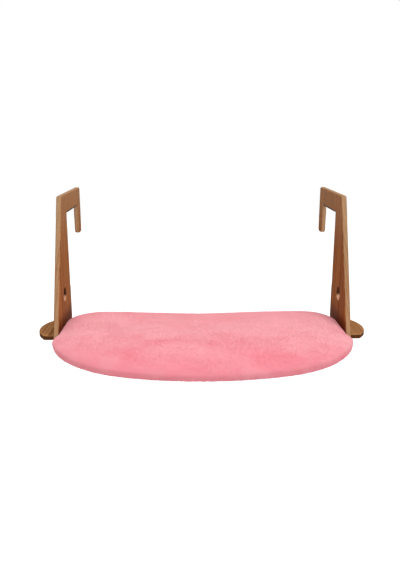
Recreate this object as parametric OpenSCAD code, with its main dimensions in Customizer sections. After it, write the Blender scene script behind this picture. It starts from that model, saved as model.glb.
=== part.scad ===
// Cat bed that hangs from a radiator by two wooden hooks.
// X runs across the bed, Y from the room towards the wall, Z up, in millimetres.
// Y = 0 is the plane of the radiator's front, Z = 0 is the rail that the hooks sit on.

/* [Brackets] */
// Width of the bed over the outer faces of the two brackets
frame_w = 490; // [420:1:560]
// Thickness of each bracket
bracket_t = 9; // [8:0.5:14]
// Depth of a bracket at its foot
foot_d = 124; // [110:1:150]
// How far the front edge leans back from the foot to the top
lean = 87; // [70:1:95]
// Height from the foot up to the underside of the hook arm
hook_drop = 204; // [170:0.5:240]
// Height of the hook arm
arm_h = 31; // [22:0.5:36]
// Clear depth of the hook, from the bracket's back edge to the prong
hook_gap = 112; // [90:1:140]
// Depth of the prong behind the radiator
prong_w = 25.5; // [18:0.5:34]
// Length of the prong below the underside of the arm
prong_l = 56; // [40:0.5:80]
// Corner radius of the hook's outer corners
outer_r = 5; // [2:0.5:9]
// Corner radius inside the hook
inner_r = 4; // [2:0.5:7]
// Corner radius at the tip of the prong
tip_r = 8; // [4:0.5:8.5]
// Radius of the round hole through each bracket
hole_r = 12; // [8:0.5:16]
// Height of that hole above the foot
hole_h = 68; // [50:1:90]

/* [Seat board] */
// Thickness of the seat board
board_t = 8; // [6:0.5:12]
// Wood left under the board at each bracket
ledge_h = 6; // [5:0.5:10]
// Wood left in front of the board's tab
tab_front = 12; // [8:0.5:18]
// Depth of the tab that passes through each bracket
tab_d = 88; // [70:1:92]
// How far the rounded ear of the tab stands out of the bracket
ear_reach = 33; // [20:1:45]
// Radius of the ear's rounded end
ear_r = 70; // [50:1:100]
// How far the board's rear edge lies behind its tabs
tab_back = 6; // [3:0.5:12]
// How far the cushion stands out past the board in front
front_overhang = 15; // [12:0.5:20]
// Play of the tab in its mortise
tab_play = 0.3; // [0.2:0.05:0.6]

/* [Cushion] */
// Reach of the cushion ahead of the brackets' front corners
front_reach = 172; // [140:1:200]
// Width of the cushion in front of the brackets
cushion_w = 492; // [486:1:500]
// Radius of the broad curve across the front
front_r = 415; // [380:1:470]
// Radius of the tighter curves at the two front corners
corner_r = 180; // [150:1:200]
// Radius of the two rear corners
rear_r = 34; // [20:1:36]
// How far the cushion stands out past the board at the rear
rear_overhang = 5.5; // [5:0.5:9]
// Crown height of the cushion above the board
cushion_h = 21; // [16:0.5:30]
// Width of the rolled edge, from the rim to where the top levels out
rim_w = 26; // [20:1:34]
// How far the front edge hangs down over the edge of the board
droop_h = 5.3; // [3:0.1:7]
// How far the rear edge is drawn in at its middle
draw_in = 4; // [2:0.5:9]
// Thickness of the plush cover with its pile
cover_t = 3.4; // [2.4:0.1:4.4]
// Thickness of the woven base panel
base_t = 0.8; // [0.6:0.1:1.4]
// Play between the cushion and the wood beside it
soft_play = 0.5; // [0.4:0.1:1]

/* [Fastenings] */
// Thickness of the felt strips
felt_t = 1.5; // [1:0.1:3]
// Length of the felt strip under each hook arm
hook_felt_l = 98; // [60:1:104]
// Length of the felt strip on each bracket's back edge
rest_felt_l = 60; // [30:1:90]
// Height of that strip's lower end above the foot
rest_felt_h = 12; // [8:1:30]
// Thickness of one half of the grip tape
grip_t = 1.2; // [0.8:0.1:2]
// Width of the grip tape
grip_w = 20; // [16:1:30]
// Length of each piece of grip tape
grip_l = 90; // [60:1:110]
// Distance from the board's rear edge to the grip tape near the brackets
grip_back = 8; // [6:0.5:14]
// Diameter of the screws under the tabs
screw_d = 3; // [2.5:0.1:3.5]
// Length of those screws
screw_l = 12; // [10:0.5:12.5]
// Diameter of the countersunk screw heads
screw_head_d = 5.8; // [5:0.1:7]
// Distance between the two screws of one tab
screw_pitch = 56; // [40:1:66]

/* [Zip] */
// Length of the zip's chain between its end stops
zip_l = 300; // [240:1:340]
// Height of each half of the zip tape
zip_tape_h = 3; // [2.5:0.1:4]
// Thickness of the zip tape
zip_tape_t = 0.8; // [0.6:0.1:1]
// Height of the closed chain
zip_chain_h = 2; // [1.6:0.1:3]
// Thickness of the chain in front of the tape
zip_chain_t = 0.9; // [0.7:0.1:1.2]
// Length of the slider
slider_l = 9; // [7:0.5:12]
// Wall thickness of the slider
slider_wall = 0.7; // [0.6:0.05:0.9]
// Length of the pull below its pivot
pull_l = 19; // [14:1:24]
// Width of the pull
pull_w = 4.6; // [4:0.1:6]
// Thickness of the pull
pull_t = 1.1; // [0.9:0.1:1.4]

/* [Hidden] */
$fn = 48;

// Overrun of every cut past the face it opens
over = 1;
// Gap between flat pieces of different bodies
seat_gap = 0.3;
// Segments in one rounded corner of a flat outline
corner_steps = 6;

// Places of the brackets
half_w = frame_w / 2;
inner_x = half_w - bracket_t;
wood_back_y = -felt_t;
foot_y = wood_back_y - foot_d;
top_front_y = foot_y + lean;
prong_y = wood_back_y + hook_gap;
hook_back_y = prong_y + prong_w;
arm_z = felt_t;
top_z = arm_z + arm_h;
foot_z = arm_z - hook_drop;
tip_z = arm_z - prong_l;
bracket_h = top_z - foot_z;
hole_z = foot_z + hole_h;
// The hole sits midway between the sloping front edge and the back edge.
hole_y = (foot_y + lean * hole_h / bracket_h + wood_back_y) / 2;

// Places of the board and its tabs
board_z = foot_z + ledge_h;
board_top = board_z + board_t;
tab_y0 = foot_y + tab_front;
tab_y1 = tab_y0 + tab_d;
board_rear_y = tab_y1 + tab_back;
board_corner_r = rear_r / 2;
// The board's shoulders start just behind the brackets' front corners.
shoulder_y = foot_y + tab_front / 4;

// Countersunk screws
screw_r = screw_d / 2;
screw_head_r = screw_head_d / 2;
screw_head_h = screw_head_r - screw_r;
screw_hole_play = screw_d / 12;
pilot_play = screw_d / 60;
recess_w = screw_d / 4;
recess_l = screw_head_r * 1.1;
recess_h = screw_head_h * 0.8;
screw_mid_y = (tab_y0 + tab_y1) / 2;
screw_x = half_w - bracket_t / 2;

// Cushion outline
cushion_front_y = foot_y - front_reach;
cushion_rear_y = board_rear_y + rear_overhang;
side_x = inner_x - soft_play;
front_cy = cushion_front_y + front_r;
corner_cx = cushion_w / 2 - corner_r;
corner_cy = front_cy - sqrt(pow(front_r - corner_r, 2) - pow(corner_cx, 2));
join_a = atan2(corner_cy - front_cy, corner_cx);
// The cushion's lobe ends just ahead of the bracket's front corner.
lobe_y = foot_y - soft_play;
lobe_a = asin((lobe_y - bracket_t / 3 - corner_cy) / corner_r);
lobe_x = corner_cx + corner_r * cos(lobe_a);
pad_centre = [0, foot_y - foot_d / 5];

// Heights in the cushion
pad_z = board_top + seat_gap;
grip_hook_z = board_top;
grip_loop_z = grip_hook_z + grip_t + seat_gap;
base_z = grip_loop_z + grip_t;
base_top = base_z + base_t;

// The rolled edge, from under the board's side of the rim up to the level top.
// Each row holds how far in and how high, then how much it takes of the front droop,
// of the rear draw-in and of the fading of the step beside the brackets.
rim_shares = [
    [0.77, -1, 0, 0, 0.94],
    [0.52, 0.015, 0, 0, 0],
    [0.30, 0, 0.80, 0, 0],
    [0.11, 0, 1, 0, 0],
    [0.02, 0.06, 0.86, 0, 0],
    [0, 0.18, 0.40, 0, 0],
    [0.03, 0.32, 0.12, 0.4, 0.06],
    [0.15, 0.48, 0.22, 0.8, 0.30],
    [0.46, 0.64, 0.34, 1, 0.85],
    [1, 0.77, 0.36, 1, 0.94]
];
// The crown, as share of the way out and height
crown_shares = [[0.66, 0.92], [0.33, 0.985]];
// Rows of the rolled edge that the filling follows inside the cover
lining_rows = [7, 8, 9];
lining_foot_share = 0.5;
lining_side_share = 1.3;
// How far the step beside the brackets has faded inside the cover and over its crown
lobe_fade = rim_shares[9][4];

// Zip at the foot of the rear edge
zip_y = cushion_rear_y;
zip_mid_z = pad_z + cushion_h * rim_shares[5][1];
zip_tape_l = zip_l + slider_l * 2;
zip_chain_y = zip_y + zip_tape_t;
zip_face_y = zip_chain_y + zip_chain_t;
slider_play = 0.15;
slider_h = zip_chain_h + 2 * (slider_play + slider_wall);
slider_y0 = zip_chain_y + slider_play;
slider_y1 = zip_face_y + slider_play + slider_wall;
slider_x = -zip_l / 2 + slider_l / 2 + seat_gap;
stop_t = slider_l / 6;
pivot_r = slider_wall * 0.8;
pivot_play = 0.05;
eye_r = pivot_r + slider_wall + pivot_play;
pivot_y = slider_y1 + eye_r + slider_play;
pivot_z = zip_mid_z;
post_w = slider_wall * 1.4;
eye_w = slider_l / 3;

// Points of a corner of radius r at p, coming from a and leaving for b
function corner(a, p, b, r) =
    let (
        u = (a - p) / norm(a - p),
        v = (b - p) / norm(b - p),
        half = acos(u * v) / 2,
        c = p + (u + v) / norm(u + v) * r / sin(half),
        s = p + u * r / tan(half) - c,
        e = p + v * r / tan(half) - c,
        a0 = atan2(s[1], s[0]),
        turn = atan2(s[0] * e[1] - s[1] * e[0], s * e)
    )
    [for (i = [0 : corner_steps]) c + r * [cos(a0 + turn * i / corner_steps), sin(a0 + turn * i / corner_steps)]];

// Outline with every corner rounded; each row holds a place and a radius
function rounded(rows) =
    let (n = len(rows))
    [for (i = [0 : n - 1])
        each rows[i][1] == 0
            ? [rows[i][0]]
            : corner(rows[(i + n - 1) % n][0], rows[i][0], rows[(i + 1) % n][0], rows[i][1])];

// Points along an arc, both ends included
function arc(c, r, a0, a1, steps) =
    [for (i = [0 : steps]) c + r * [cos(a0 + (a1 - a0) * i / steps), sin(a0 + (a1 - a0) * i / steps)]];

// The same list mirrored across X = 0 and run backwards
function mirrored(list) = [for (i = [len(list) - 1 : -1 : 0]) [-list[i][0], list[i][1]]];

// Right half of the cushion's outline, from the front round to the rear
function cushion_half() =
    let (
        broad = arc([0, front_cy], front_r, -90, join_a, 5),
        tight = arc([corner_cx, corner_cy], corner_r, join_a, lobe_a, 7),
        rear_corner = arc([side_x - rear_r, cushion_rear_y - rear_r], rear_r, 0, 90, 5)
    )
    concat(
        [for (i = [1 : 5]) broad[i]],
        [for (i = [1 : 7]) tight[i]],
        [
            [lobe_x - bracket_t / 5, lobe_y],
            [side_x, lobe_y],
            [side_x, foot_y + foot_d / 4],
            [side_x, foot_y + foot_d / 2]
        ],
        rear_corner,
        [for (i = [4 : -1 : 1]) [(side_x - rear_r) * i / 5, cushion_rear_y]]
    );

cushion_half_points = cushion_half();
cushion_outline = concat(
    [[0, cushion_front_y]],
    cushion_half_points,
    [[0, cushion_rear_y]],
    mirrored(cushion_half_points)
);
sides = len(cushion_outline);

// How far a point takes part in the front droop, from 0 beside the brackets to 1
function droop_at(p) = max(0, min(1, 2 * (foot_y - p[1]) / foot_d));
// How far a point takes part in the rear draw-in, fading towards the corners
function draw_at(p) = p[1] < cushion_rear_y - rear_r / 4 ? 0 : pow(cos(90 * p[0] / side_x), 2);

// The step in the outline ahead of each bracket fades out towards the middle of the cushion.
function smoothed(p, fade) =
    let (step = abs(p[0]) - side_x)
    step > 0 ? [sign(p[0]) * (side_x + step * (1 - fade)), p[1]] : p;

// One ring of the cushion: the outline moved in by a distance and set at a height.
// parts holds its shares of the droop, the draw-in and the fading; size shrinks it to the middle.
function ring(inset, z, parts, size = 1) =
    [for (p = cushion_outline)
        let (
            v = smoothed(p, parts[2]) - pad_centre,
            q = pad_centre + v * size * (1 - (inset + draw_in * parts[1] * draw_at(p)) / norm(v))
        )
        [q[0], q[1], z - droop_h * parts[0] * droop_at(p)]];

function rim_z(row) = row[1] < 0 ? base_z : pad_z + cushion_h * row[1];

// Rings of the cover's outer form
function outer_rings() = concat(
    [for (i = [0 : len(rim_shares) - 1])
        let (row = rim_shares[i])
        ring(rim_w * row[0], rim_z(row), [row[2], row[3], row[4]])],
    [for (c = crown_shares) ring(rim_w, pad_z + cushion_h * c[1], [0, 1, lobe_fade], c[0])]
);

// Rings of the space inside the cover, drawn in by a play
function lining_rings(play) = concat(
    [
        ring(rim_w * lining_foot_share + play, base_top, [0, 0, lobe_fade]),
        ring(cover_t * lining_side_share + play, base_top + base_t, [0, 0, lobe_fade])
    ],
    [for (i = lining_rows)
        let (row = rim_shares[i])
        ring(rim_w * row[0] + cover_t + play, rim_z(row) - cover_t - play, [row[2], row[3], lobe_fade])],
    [ring(rim_w, pad_z + cushion_h * crown_shares[1][1] - cover_t - play, [0, 1, lobe_fade], crown_shares[1][0])]
);

// Closed form through a stack of rings, with a point at the middle of each end.
// The rings run from the first end out, round and in again to the second end.
// turned splits each wall face along its other diagonal.
module ring_stack(rings, first_z, last_z, turned = false) {
    rows = len(rings);
    points = concat(
        [for (r = rings) each r],
        [[pad_centre[0], pad_centre[1], first_z], [pad_centre[0], pad_centre[1], last_z]]
    );
    first = rows * sides;
    last = (rows - 1) * sides;
    walls = [for (r = [0 : rows - 2], i = [0 : sides - 1])
        let (
            j = (i + 1) % sides,
            a = r * sides + i,
            b = r * sides + j,
            c = a + sides,
            d = b + sides
        )
        each turned ? [[a, c, d], [a, d, b]] : [[a, c, b], [b, c, d]]];
    caps = [for (i = [0 : sides - 1])
        let (j = (i + 1) % sides)
        each [[first, i, j], [first + 1, last + j, last + i]]];
    polyhedron(points, concat(walls, caps));
}

// A list run backwards
function reversed(list) = [for (i = [len(list) - 1 : -1 : 0]) list[i]];

// Flat plate standing in the plane of a bracket, from x0 towards +X
module upright(x0, t) {
    translate([x0, 0, 0]) rotate([90, 0, 90]) linear_extrude(t) children();
}

// Side view of one bracket
module bracket_outline() {
    polygon(rounded([
        [[foot_y, foot_z], outer_r / 2],
        [[wood_back_y, foot_z], outer_r / 2],
        [[wood_back_y, arm_z], inner_r],
        [[prong_y, arm_z], inner_r],
        [[prong_y, tip_z], tip_r],
        [[hook_back_y, tip_z], tip_r],
        [[hook_back_y, top_z], outer_r],
        [[top_front_y, top_z], outer_r]
    ]));
}

module screw_places() {
    for (s = [-1, 1]) translate([0, screw_mid_y + s * screw_pitch / 2, foot_z]) children();
}

// One bracket; side is -1 for the left one and 1 for the right one
module bracket(side) {
    x0 = side > 0 ? inner_x : -half_w;
    color([0.60, 0.38, 0.22]) difference() {
        upright(x0, bracket_t) bracket_outline();
        translate([x0 - over, hole_y, hole_z]) rotate([0, 90, 0]) cylinder(h = bracket_t + 2 * over, r = hole_r);
        translate([x0 - over, tab_y0 - tab_play, board_z])
            cube([bracket_t + 2 * over, tab_d + 2 * tab_play, board_t + tab_play]);
        translate([side * screw_x, 0, 0]) screw_places() {
            translate([0, 0, -over]) cylinder(h = ledge_h + 2 * over, r = screw_r + screw_hole_play);
            translate([0, 0, -screw_hole_play])
                cylinder(h = screw_head_h + screw_hole_play, r1 = screw_head_r + screw_hole_play, r2 = screw_r);
            translate([0, 0, -over]) cylinder(h = over, r = screw_head_r + screw_hole_play);
        }
    }
}

module bracket_left() {
    bracket(-1);
}

module bracket_right() {
    bracket(1);
}

// Plan of the board in front of the brackets: the cushion's curves, set in by the overhang
module board_front() {
    broad = arc([0, front_cy], front_r - front_overhang, -90, join_a, 8);
    tight = arc([corner_cx, corner_cy], corner_r - front_overhang, join_a, lobe_a, 8);
    right = concat(
        [for (i = [1 : 7]) broad[i]],
        tight,
        [[tight[8][0], shoulder_y + board_t]]
    );
    polygon(concat([broad[0]], right, mirrored(right)));
}

// Plan of one ear: a strip cut off by a round end
module ear(side) {
    reach = half_w + ear_reach;
    intersection() {
        translate([side > 0 ? 0 : -reach, tab_y0]) square([reach, tab_d]);
        translate([side * (reach - ear_r), (tab_y0 + tab_y1) / 2]) circle(ear_r, $fn = 96);
    }
}

// Plan of the part of the tab inside the bracket
module tab_neck() {
    translate([-half_w, tab_y0]) square([frame_w, tab_d]);
}

// Plan of the board between the brackets
module board_rear() {
    polygon(rounded([
        [[-inner_x, shoulder_y], 0],
        [[inner_x, shoulder_y], 0],
        [[inner_x, board_rear_y], board_corner_r],
        [[-inner_x, board_rear_y], board_corner_r]
    ]));
}

module seat_board() {
    color([0.62, 0.40, 0.23]) difference() {
        translate([0, 0, board_z]) linear_extrude(board_t) {
            board_front();
            board_rear();
            tab_neck();
            ear(-1);
            ear(1);
        }
        for (s = [-1, 1]) translate([s * screw_x, 0, 0]) screw_places()
            cylinder(h = screw_l + 2 * pilot_play, r = screw_r + pilot_play);
    }
}

// Countersunk screw standing head down on Z = 0, with a cross recess
module screw() {
    difference() {
        union() {
            cylinder(h = screw_head_h, r1 = screw_head_r, r2 = screw_r);
            cylinder(h = screw_l, r = screw_r);
        }
        for (a = [0, 90]) rotate([0, 0, a]) translate([-recess_l / 2, -recess_w / 2, -over])
            cube([recess_l, recess_w, over + recess_h]);
    }
}

module tab_screws(side) {
    color([0.72, 0.72, 0.74]) translate([side * screw_x, 0, 0]) screw_places() screw();
}

module tab_screws_left() {
    tab_screws(-1);
}

module tab_screws_right() {
    tab_screws(1);
}

// Felt strip under a hook arm, where the bed hangs on the radiator
module hook_felt(side) {
    x0 = side > 0 ? inner_x : -half_w;
    color([0.30, 0.20, 0.14]) translate([x0, wood_back_y + (hook_gap - hook_felt_l) / 2, arm_z - felt_t])
        cube([bracket_t, hook_felt_l, felt_t]);
}

module hook_felt_left() {
    hook_felt(-1);
}

module hook_felt_right() {
    hook_felt(1);
}

// Felt strip on a bracket's back edge, where it leans on the radiator
module rest_felt(side) {
    x0 = side > 0 ? inner_x : -half_w;
    color([0.30, 0.20, 0.14]) translate([x0, wood_back_y, foot_z + rest_felt_h])
        cube([bracket_t, felt_t, rest_felt_l]);
}

module rest_felt_left() {
    rest_felt(-1);
}

module rest_felt_right() {
    rest_felt(1);
}

// Grip tape: one piece across the front and one near each bracket
module grip_plan() {
    translate([-grip_l / 2, foot_y - front_reach * 0.55]) square([grip_l, grip_w]);
    for (s = [-1, 1]) translate([s * inner_x * 0.72 - grip_w / 2, board_rear_y - grip_back - grip_l])
        square([grip_w, grip_l]);
}

module grip_hook_strips() {
    color([0.16, 0.15, 0.15]) translate([0, 0, grip_hook_z]) linear_extrude(grip_t) grip_plan();
}

module grip_loop_strips() {
    color([0.24, 0.22, 0.22]) translate([0, 0, grip_loop_z]) linear_extrude(grip_t) grip_plan();
}

// Plan of the base panel: the first row of the rolled edge
module base_plan() {
    polygon([for (p = ring(rim_w * rim_shares[0][0], base_z, [0, 0, lobe_fade])) [p[0], p[1]]]);
}

// Plush top and sides, open underneath for the base panel and hollow for the filling.
// The rings run from the middle of the lining over the hem and round to the middle of the top.
module cushion_cover() {
    hem = ring(rim_w * rim_shares[0][0], base_top, [0, 0, lobe_fade]);
    color([0.98, 0.62, 0.67]) ring_stack(
        concat(reversed(lining_rings(0)), [hem], outer_rings()),
        pad_z + cushion_h - cover_t,
        pad_z + cushion_h
    );
}

module cushion_base() {
    color([0.62, 0.56, 0.57]) translate([0, 0, base_z]) linear_extrude(base_t) base_plan();
}

// The filling's faces are split like those of the cover's lining, which runs the other way.
module cushion_filling() {
    color([0.95, 0.95, 0.92]) ring_stack(
        lining_rings(seat_gap),
        base_top,
        pad_z + cushion_h - cover_t - seat_gap,
        turned = true
    );
}

module zip_tape(z0) {
    color([0.90, 0.52, 0.58]) translate([-zip_tape_l / 2, zip_y, z0]) cube([zip_tape_l, zip_tape_t, zip_tape_h]);
}

module zip_tape_upper() {
    zip_tape(zip_mid_z);
}

module zip_tape_lower() {
    zip_tape(zip_mid_z - zip_tape_h);
}

// Closed chain of the zip, between the stops
module zip_chain() {
    color([0.86, 0.50, 0.56]) translate([-zip_l / 2, zip_chain_y, zip_mid_z - zip_chain_h / 2])
        cube([zip_l, zip_chain_t, zip_chain_h]);
}

module zip_end_stops() {
    color([0.75, 0.75, 0.77]) for (s = [-1, 1])
        translate([s * (zip_l + stop_t) / 2, zip_chain_y + zip_chain_t / 2, zip_mid_z])
            cube([stop_t, zip_chain_t, slider_h], center = true);
}

// Slider: a channel over the chain, with two posts that hold the pivot bar
module zip_slider() {
    color([0.75, 0.75, 0.77]) translate([slider_x, 0, 0]) {
        difference() {
            translate([-slider_l / 2, slider_y0, zip_mid_z - slider_h / 2])
                cube([slider_l, slider_y1 - slider_y0, slider_h]);
            translate([-slider_l / 2 - over, slider_y0 - over, zip_mid_z - slider_h / 2 + slider_wall])
                cube([slider_l + 2 * over, slider_y1 - slider_wall - slider_y0 + over, slider_h - 2 * slider_wall]);
        }
        for (s = [-1, 1]) translate([s * (eye_w / 2 + slider_play + post_w / 2) - post_w / 2, slider_y1, 0])
            translate([0, 0, pivot_z - pivot_r * 1.6]) cube([post_w, pivot_y + pivot_r * 1.6 - slider_y1, pivot_r * 3.2]);
        translate([-eye_w / 2 - slider_play - post_w / 2, pivot_y, pivot_z]) rotate([0, 90, 0])
            cylinder(h = eye_w + 2 * slider_play + post_w, r = pivot_r);
    }
}

// Pull: an eye round the pivot bar and a flat tab that hangs from it
module zip_pull() {
    color([0.78, 0.78, 0.80]) translate([slider_x, pivot_y, pivot_z]) difference() {
        union() {
            translate([-eye_w / 2, 0, 0]) rotate([0, 90, 0]) cylinder(h = eye_w, r = eye_r);
            translate([-eye_w / 2, -pull_t / 2, -slider_h]) cube([eye_w, pull_t, slider_h]);
            translate([-pull_w / 2, -pull_t / 2, -pull_l]) cube([pull_w, pull_t, pull_l - slider_h]);
        }
        translate([-eye_w / 2 - over, 0, 0]) rotate([0, 90, 0]) cylinder(h = eye_w + 2 * over, r = pivot_r + pivot_play);
        translate([0, over, -pull_l + pull_w / 2]) rotate([90, 0, 0]) cylinder(h = 2 * over, r = pull_w / 5);
    }
}

bracket_left();
bracket_right();
seat_board();
tab_screws_left();
tab_screws_right();
hook_felt_left();
hook_felt_right();
rest_felt_left();
rest_felt_right();
grip_hook_strips();
grip_loop_strips();
cushion_cover();
cushion_base();
cushion_filling();
zip_tape_upper();
zip_tape_lower();
zip_chain();
zip_end_stops();
zip_slider();
zip_pull();
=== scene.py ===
"""Plush cat bed that hangs from a radiator by two wooden hook brackets.

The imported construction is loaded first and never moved. Everything added here is placed from it,
in metres, with X across the bed, Y towards the wall and Z up.
"""

import math

import bpy
import numpy as np
from bpy.props import FloatProperty, FloatVectorProperty, IntProperty, PointerProperty
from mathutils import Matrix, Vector
from mathutils.geometry import tessellate_polygon


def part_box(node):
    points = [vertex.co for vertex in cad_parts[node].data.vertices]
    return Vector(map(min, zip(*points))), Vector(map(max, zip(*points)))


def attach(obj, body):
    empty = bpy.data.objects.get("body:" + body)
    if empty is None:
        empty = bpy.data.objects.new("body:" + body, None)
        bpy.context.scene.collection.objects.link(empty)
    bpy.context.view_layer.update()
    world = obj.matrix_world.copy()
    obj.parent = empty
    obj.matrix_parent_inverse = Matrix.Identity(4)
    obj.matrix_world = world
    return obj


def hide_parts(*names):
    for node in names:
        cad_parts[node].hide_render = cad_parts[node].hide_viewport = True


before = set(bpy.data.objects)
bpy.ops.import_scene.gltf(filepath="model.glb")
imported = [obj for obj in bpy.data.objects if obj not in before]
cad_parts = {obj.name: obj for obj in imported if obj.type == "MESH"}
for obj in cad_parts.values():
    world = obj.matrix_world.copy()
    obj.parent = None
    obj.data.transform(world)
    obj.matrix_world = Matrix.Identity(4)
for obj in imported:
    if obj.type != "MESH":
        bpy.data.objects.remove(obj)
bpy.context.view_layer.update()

bl_info = {
    "name": "Radiator Cat Bed",
    "version": (1, 0, 0),
    "blender": (4, 5, 0),
    "location": "View3D > Sidebar > Cat Bed",
    "description": "Builds a plush cushion on a board between two hook brackets",
    "category": "Add Mesh",
}

MM = 0.001

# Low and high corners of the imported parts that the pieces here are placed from
BRACKET_LOW, BRACKET_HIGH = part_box("bracket_right")
BOARD_LOW, BOARD_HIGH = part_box("seat_board")
COVER_LOW, COVER_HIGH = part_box("cushion_cover")
BASE_LOW, BASE_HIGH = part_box("cushion_base")
CHAIN_LOW, CHAIN_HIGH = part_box("zip_chain")
TAPE_LOW, TAPE_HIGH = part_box("zip_tape_upper")
INNER_X, FOOT_Y, FOOT_Z = BRACKET_LOW
OUTER_X, TOP_Z = BRACKET_HIGH.x, BRACKET_HIGH.z


def length(name, default, description, low=0.0):
    """A size that a user can change, in metres."""
    return FloatProperty(
        name=name, description=description, default=default, min=low, unit="LENGTH", precision=4
    )


def position(name, default, description):
    """A place along an axis, which may be below zero."""
    return length(name, default, description, low=-10.0)


def angle(name, degrees, description):
    """An angle, written in degrees."""
    return FloatProperty(
        name=name, description=description, default=math.radians(degrees), unit="ROTATION"
    )


def pixels(name, default, description):
    """A length on the picture."""
    return FloatProperty(name=name, description=description, default=default, subtype="PIXEL")


def colour(name, default, description):
    """A surface colour, written as sRGB shares and kept as scene-linear values."""
    linear = tuple(c / 12.92 if c <= 0.04045 else ((c + 0.055) / 1.055) ** 2.4 for c in default)
    return FloatVectorProperty(
        name=name, description=description, default=linear, size=3, min=0.0, max=1.0, subtype="COLOR"
    )


class BracketSizes(bpy.types.PropertyGroup):
    """Sizes of the two hook brackets."""

    foot_depth: length("Foot depth", 124 * MM, "Depth of a bracket at its foot")
    lean: length("Lean", 87 * MM, "How far the front edge leans back up to the top")
    arm_height: length("Arm height", 31 * MM, "Height of the hook arm")
    hook_gap: length("Hook gap", 112 * MM, "Clear depth of the hook")
    prong_length: length("Prong length", 56 * MM, "Length of the prong below the arm")
    outer_radius: length("Outer radius", 5 * MM, "Radius of the hook's outer corners")
    inner_radius: length("Inner radius", 4 * MM, "Radius of the hook's inner corners")
    tip_radius: length("Tip radius", 8 * MM, "Radius of the corners at the prong's tip")
    foot_radius: length("Foot radius", 2.5 * MM, "Radius of the corners at the foot")
    hole_radius: length("Hole radius", 12 * MM, "Radius of the round hole")
    hole_height: length("Hole height", 68 * MM, "Height of the hole above the foot")
    edge_round: length("Edge rounding", 2.0 * MM, "Radius sanded on every long edge")
    play: length("Play", 0.3 * MM, "Play of the board's tab in its mortise")
    head_proud: length("Screw heads", 0.25 * MM, "How far the screw heads stand out of the foot")


class BoardSizes(bpy.types.PropertyGroup):
    """Sizes of the seat board and its two ears."""

    tab_front: length("Tab front", 12 * MM, "Wood left in front of the tab")
    tab_depth: length("Tab depth", 88 * MM, "Depth of the tab")
    ear_radius: length("Ear radius", 70 * MM, "Radius of the ear's rounded end")
    ear_corner: length("Ear corner", 5 * MM, "Radius of the ear's two corners")
    rear_corner: length("Rear corner", 17 * MM, "Radius of the rear corners")
    overhang: length("Overhang", 15 * MM, "How far the cushion stands out past the board in front")
    edge_round: length("Edge rounding", 1.8 * MM, "Radius sanded on every long edge")


class CushionSizes(bpy.types.PropertyGroup):
    """Sizes of the plush cushion."""

    width: length("Width", 492 * MM, "Width in front of the brackets")
    front_radius: length("Front radius", 415 * MM, "Radius of the broad front curve")
    corner_radius: length("Corner radius", 180 * MM, "Radius of the front corners")
    rear_radius: length("Rear radius", 45 * MM, "Radius of the rear corners")
    lobe_run: length("Lobe run", 34 * MM, "How far ahead of the brackets the cushion has its full width")
    side_play: length("Side play", 0.5 * MM, "Play beside the brackets")
    ease: length("Ease", 12 * MM, "Reach over which the outline is smoothed on top")
    rim: length("Rim", 26 * MM, "Width of the rolled edge")
    droop: length("Droop", 5.8 * MM, "How far the front edge hangs over the board")
    droop_run: length("Droop run", 62 * MM, "How far ahead of the brackets the droop is full")
    draw_in: length("Draw in", 4 * MM, "How far the rear edge is drawn in")
    cover: length("Cover", 3.4 * MM, "Thickness of the cover with its pile")
    sink: length("Pile depth", 1.4 * MM, "How far the backing lies under the tips of the pile")
    swell: length("Swell", 0.9 * MM, "Height of the soft dents over the top")
    clump: length("Clump", 0.12 * MM, "Height of the pile's clumps")
    pile: length("Pile", 2.8 * MM, "Length of the pile's tufts")
    tuft: length("Tuft", 0.40 * MM, "Radius of a tuft at its root")
    tufts: IntProperty(
        name="Tufts", description="Number of tufts in each part of the pile", default=48000, min=0
    )
    fill: FloatProperty(
        name="Fill", description="How tight it is filled", default=0.7, min=0, max=1, subtype="FACTOR"
    )


class ZipSizes(bpy.types.PropertyGroup):
    """Sizes of the zip along the cushion's rear edge."""

    pitch: length("Pitch", 1.3 * MM, "Distance from one coil to the next")
    wire: length("Wire", 0.22 * MM, "Radius of the coil's wire")
    wall: length("Wall", 0.7 * MM, "Wall thickness of the slider")
    pivot: length("Pivot", 0.56 * MM, "Radius of the pivot bar")
    pull: length("Pull", 1.1 * MM, "Thickness of the pull")
    eye: length("Eye", 0.95 * MM, "Radius of the two holes in the pull")
    neck: length("Neck", 1.7 * MM, "Radius of the pull round its eye")
    edge_round: length("Edge rounding", 0.25 * MM, "Radius on the metal's edges")


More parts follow.
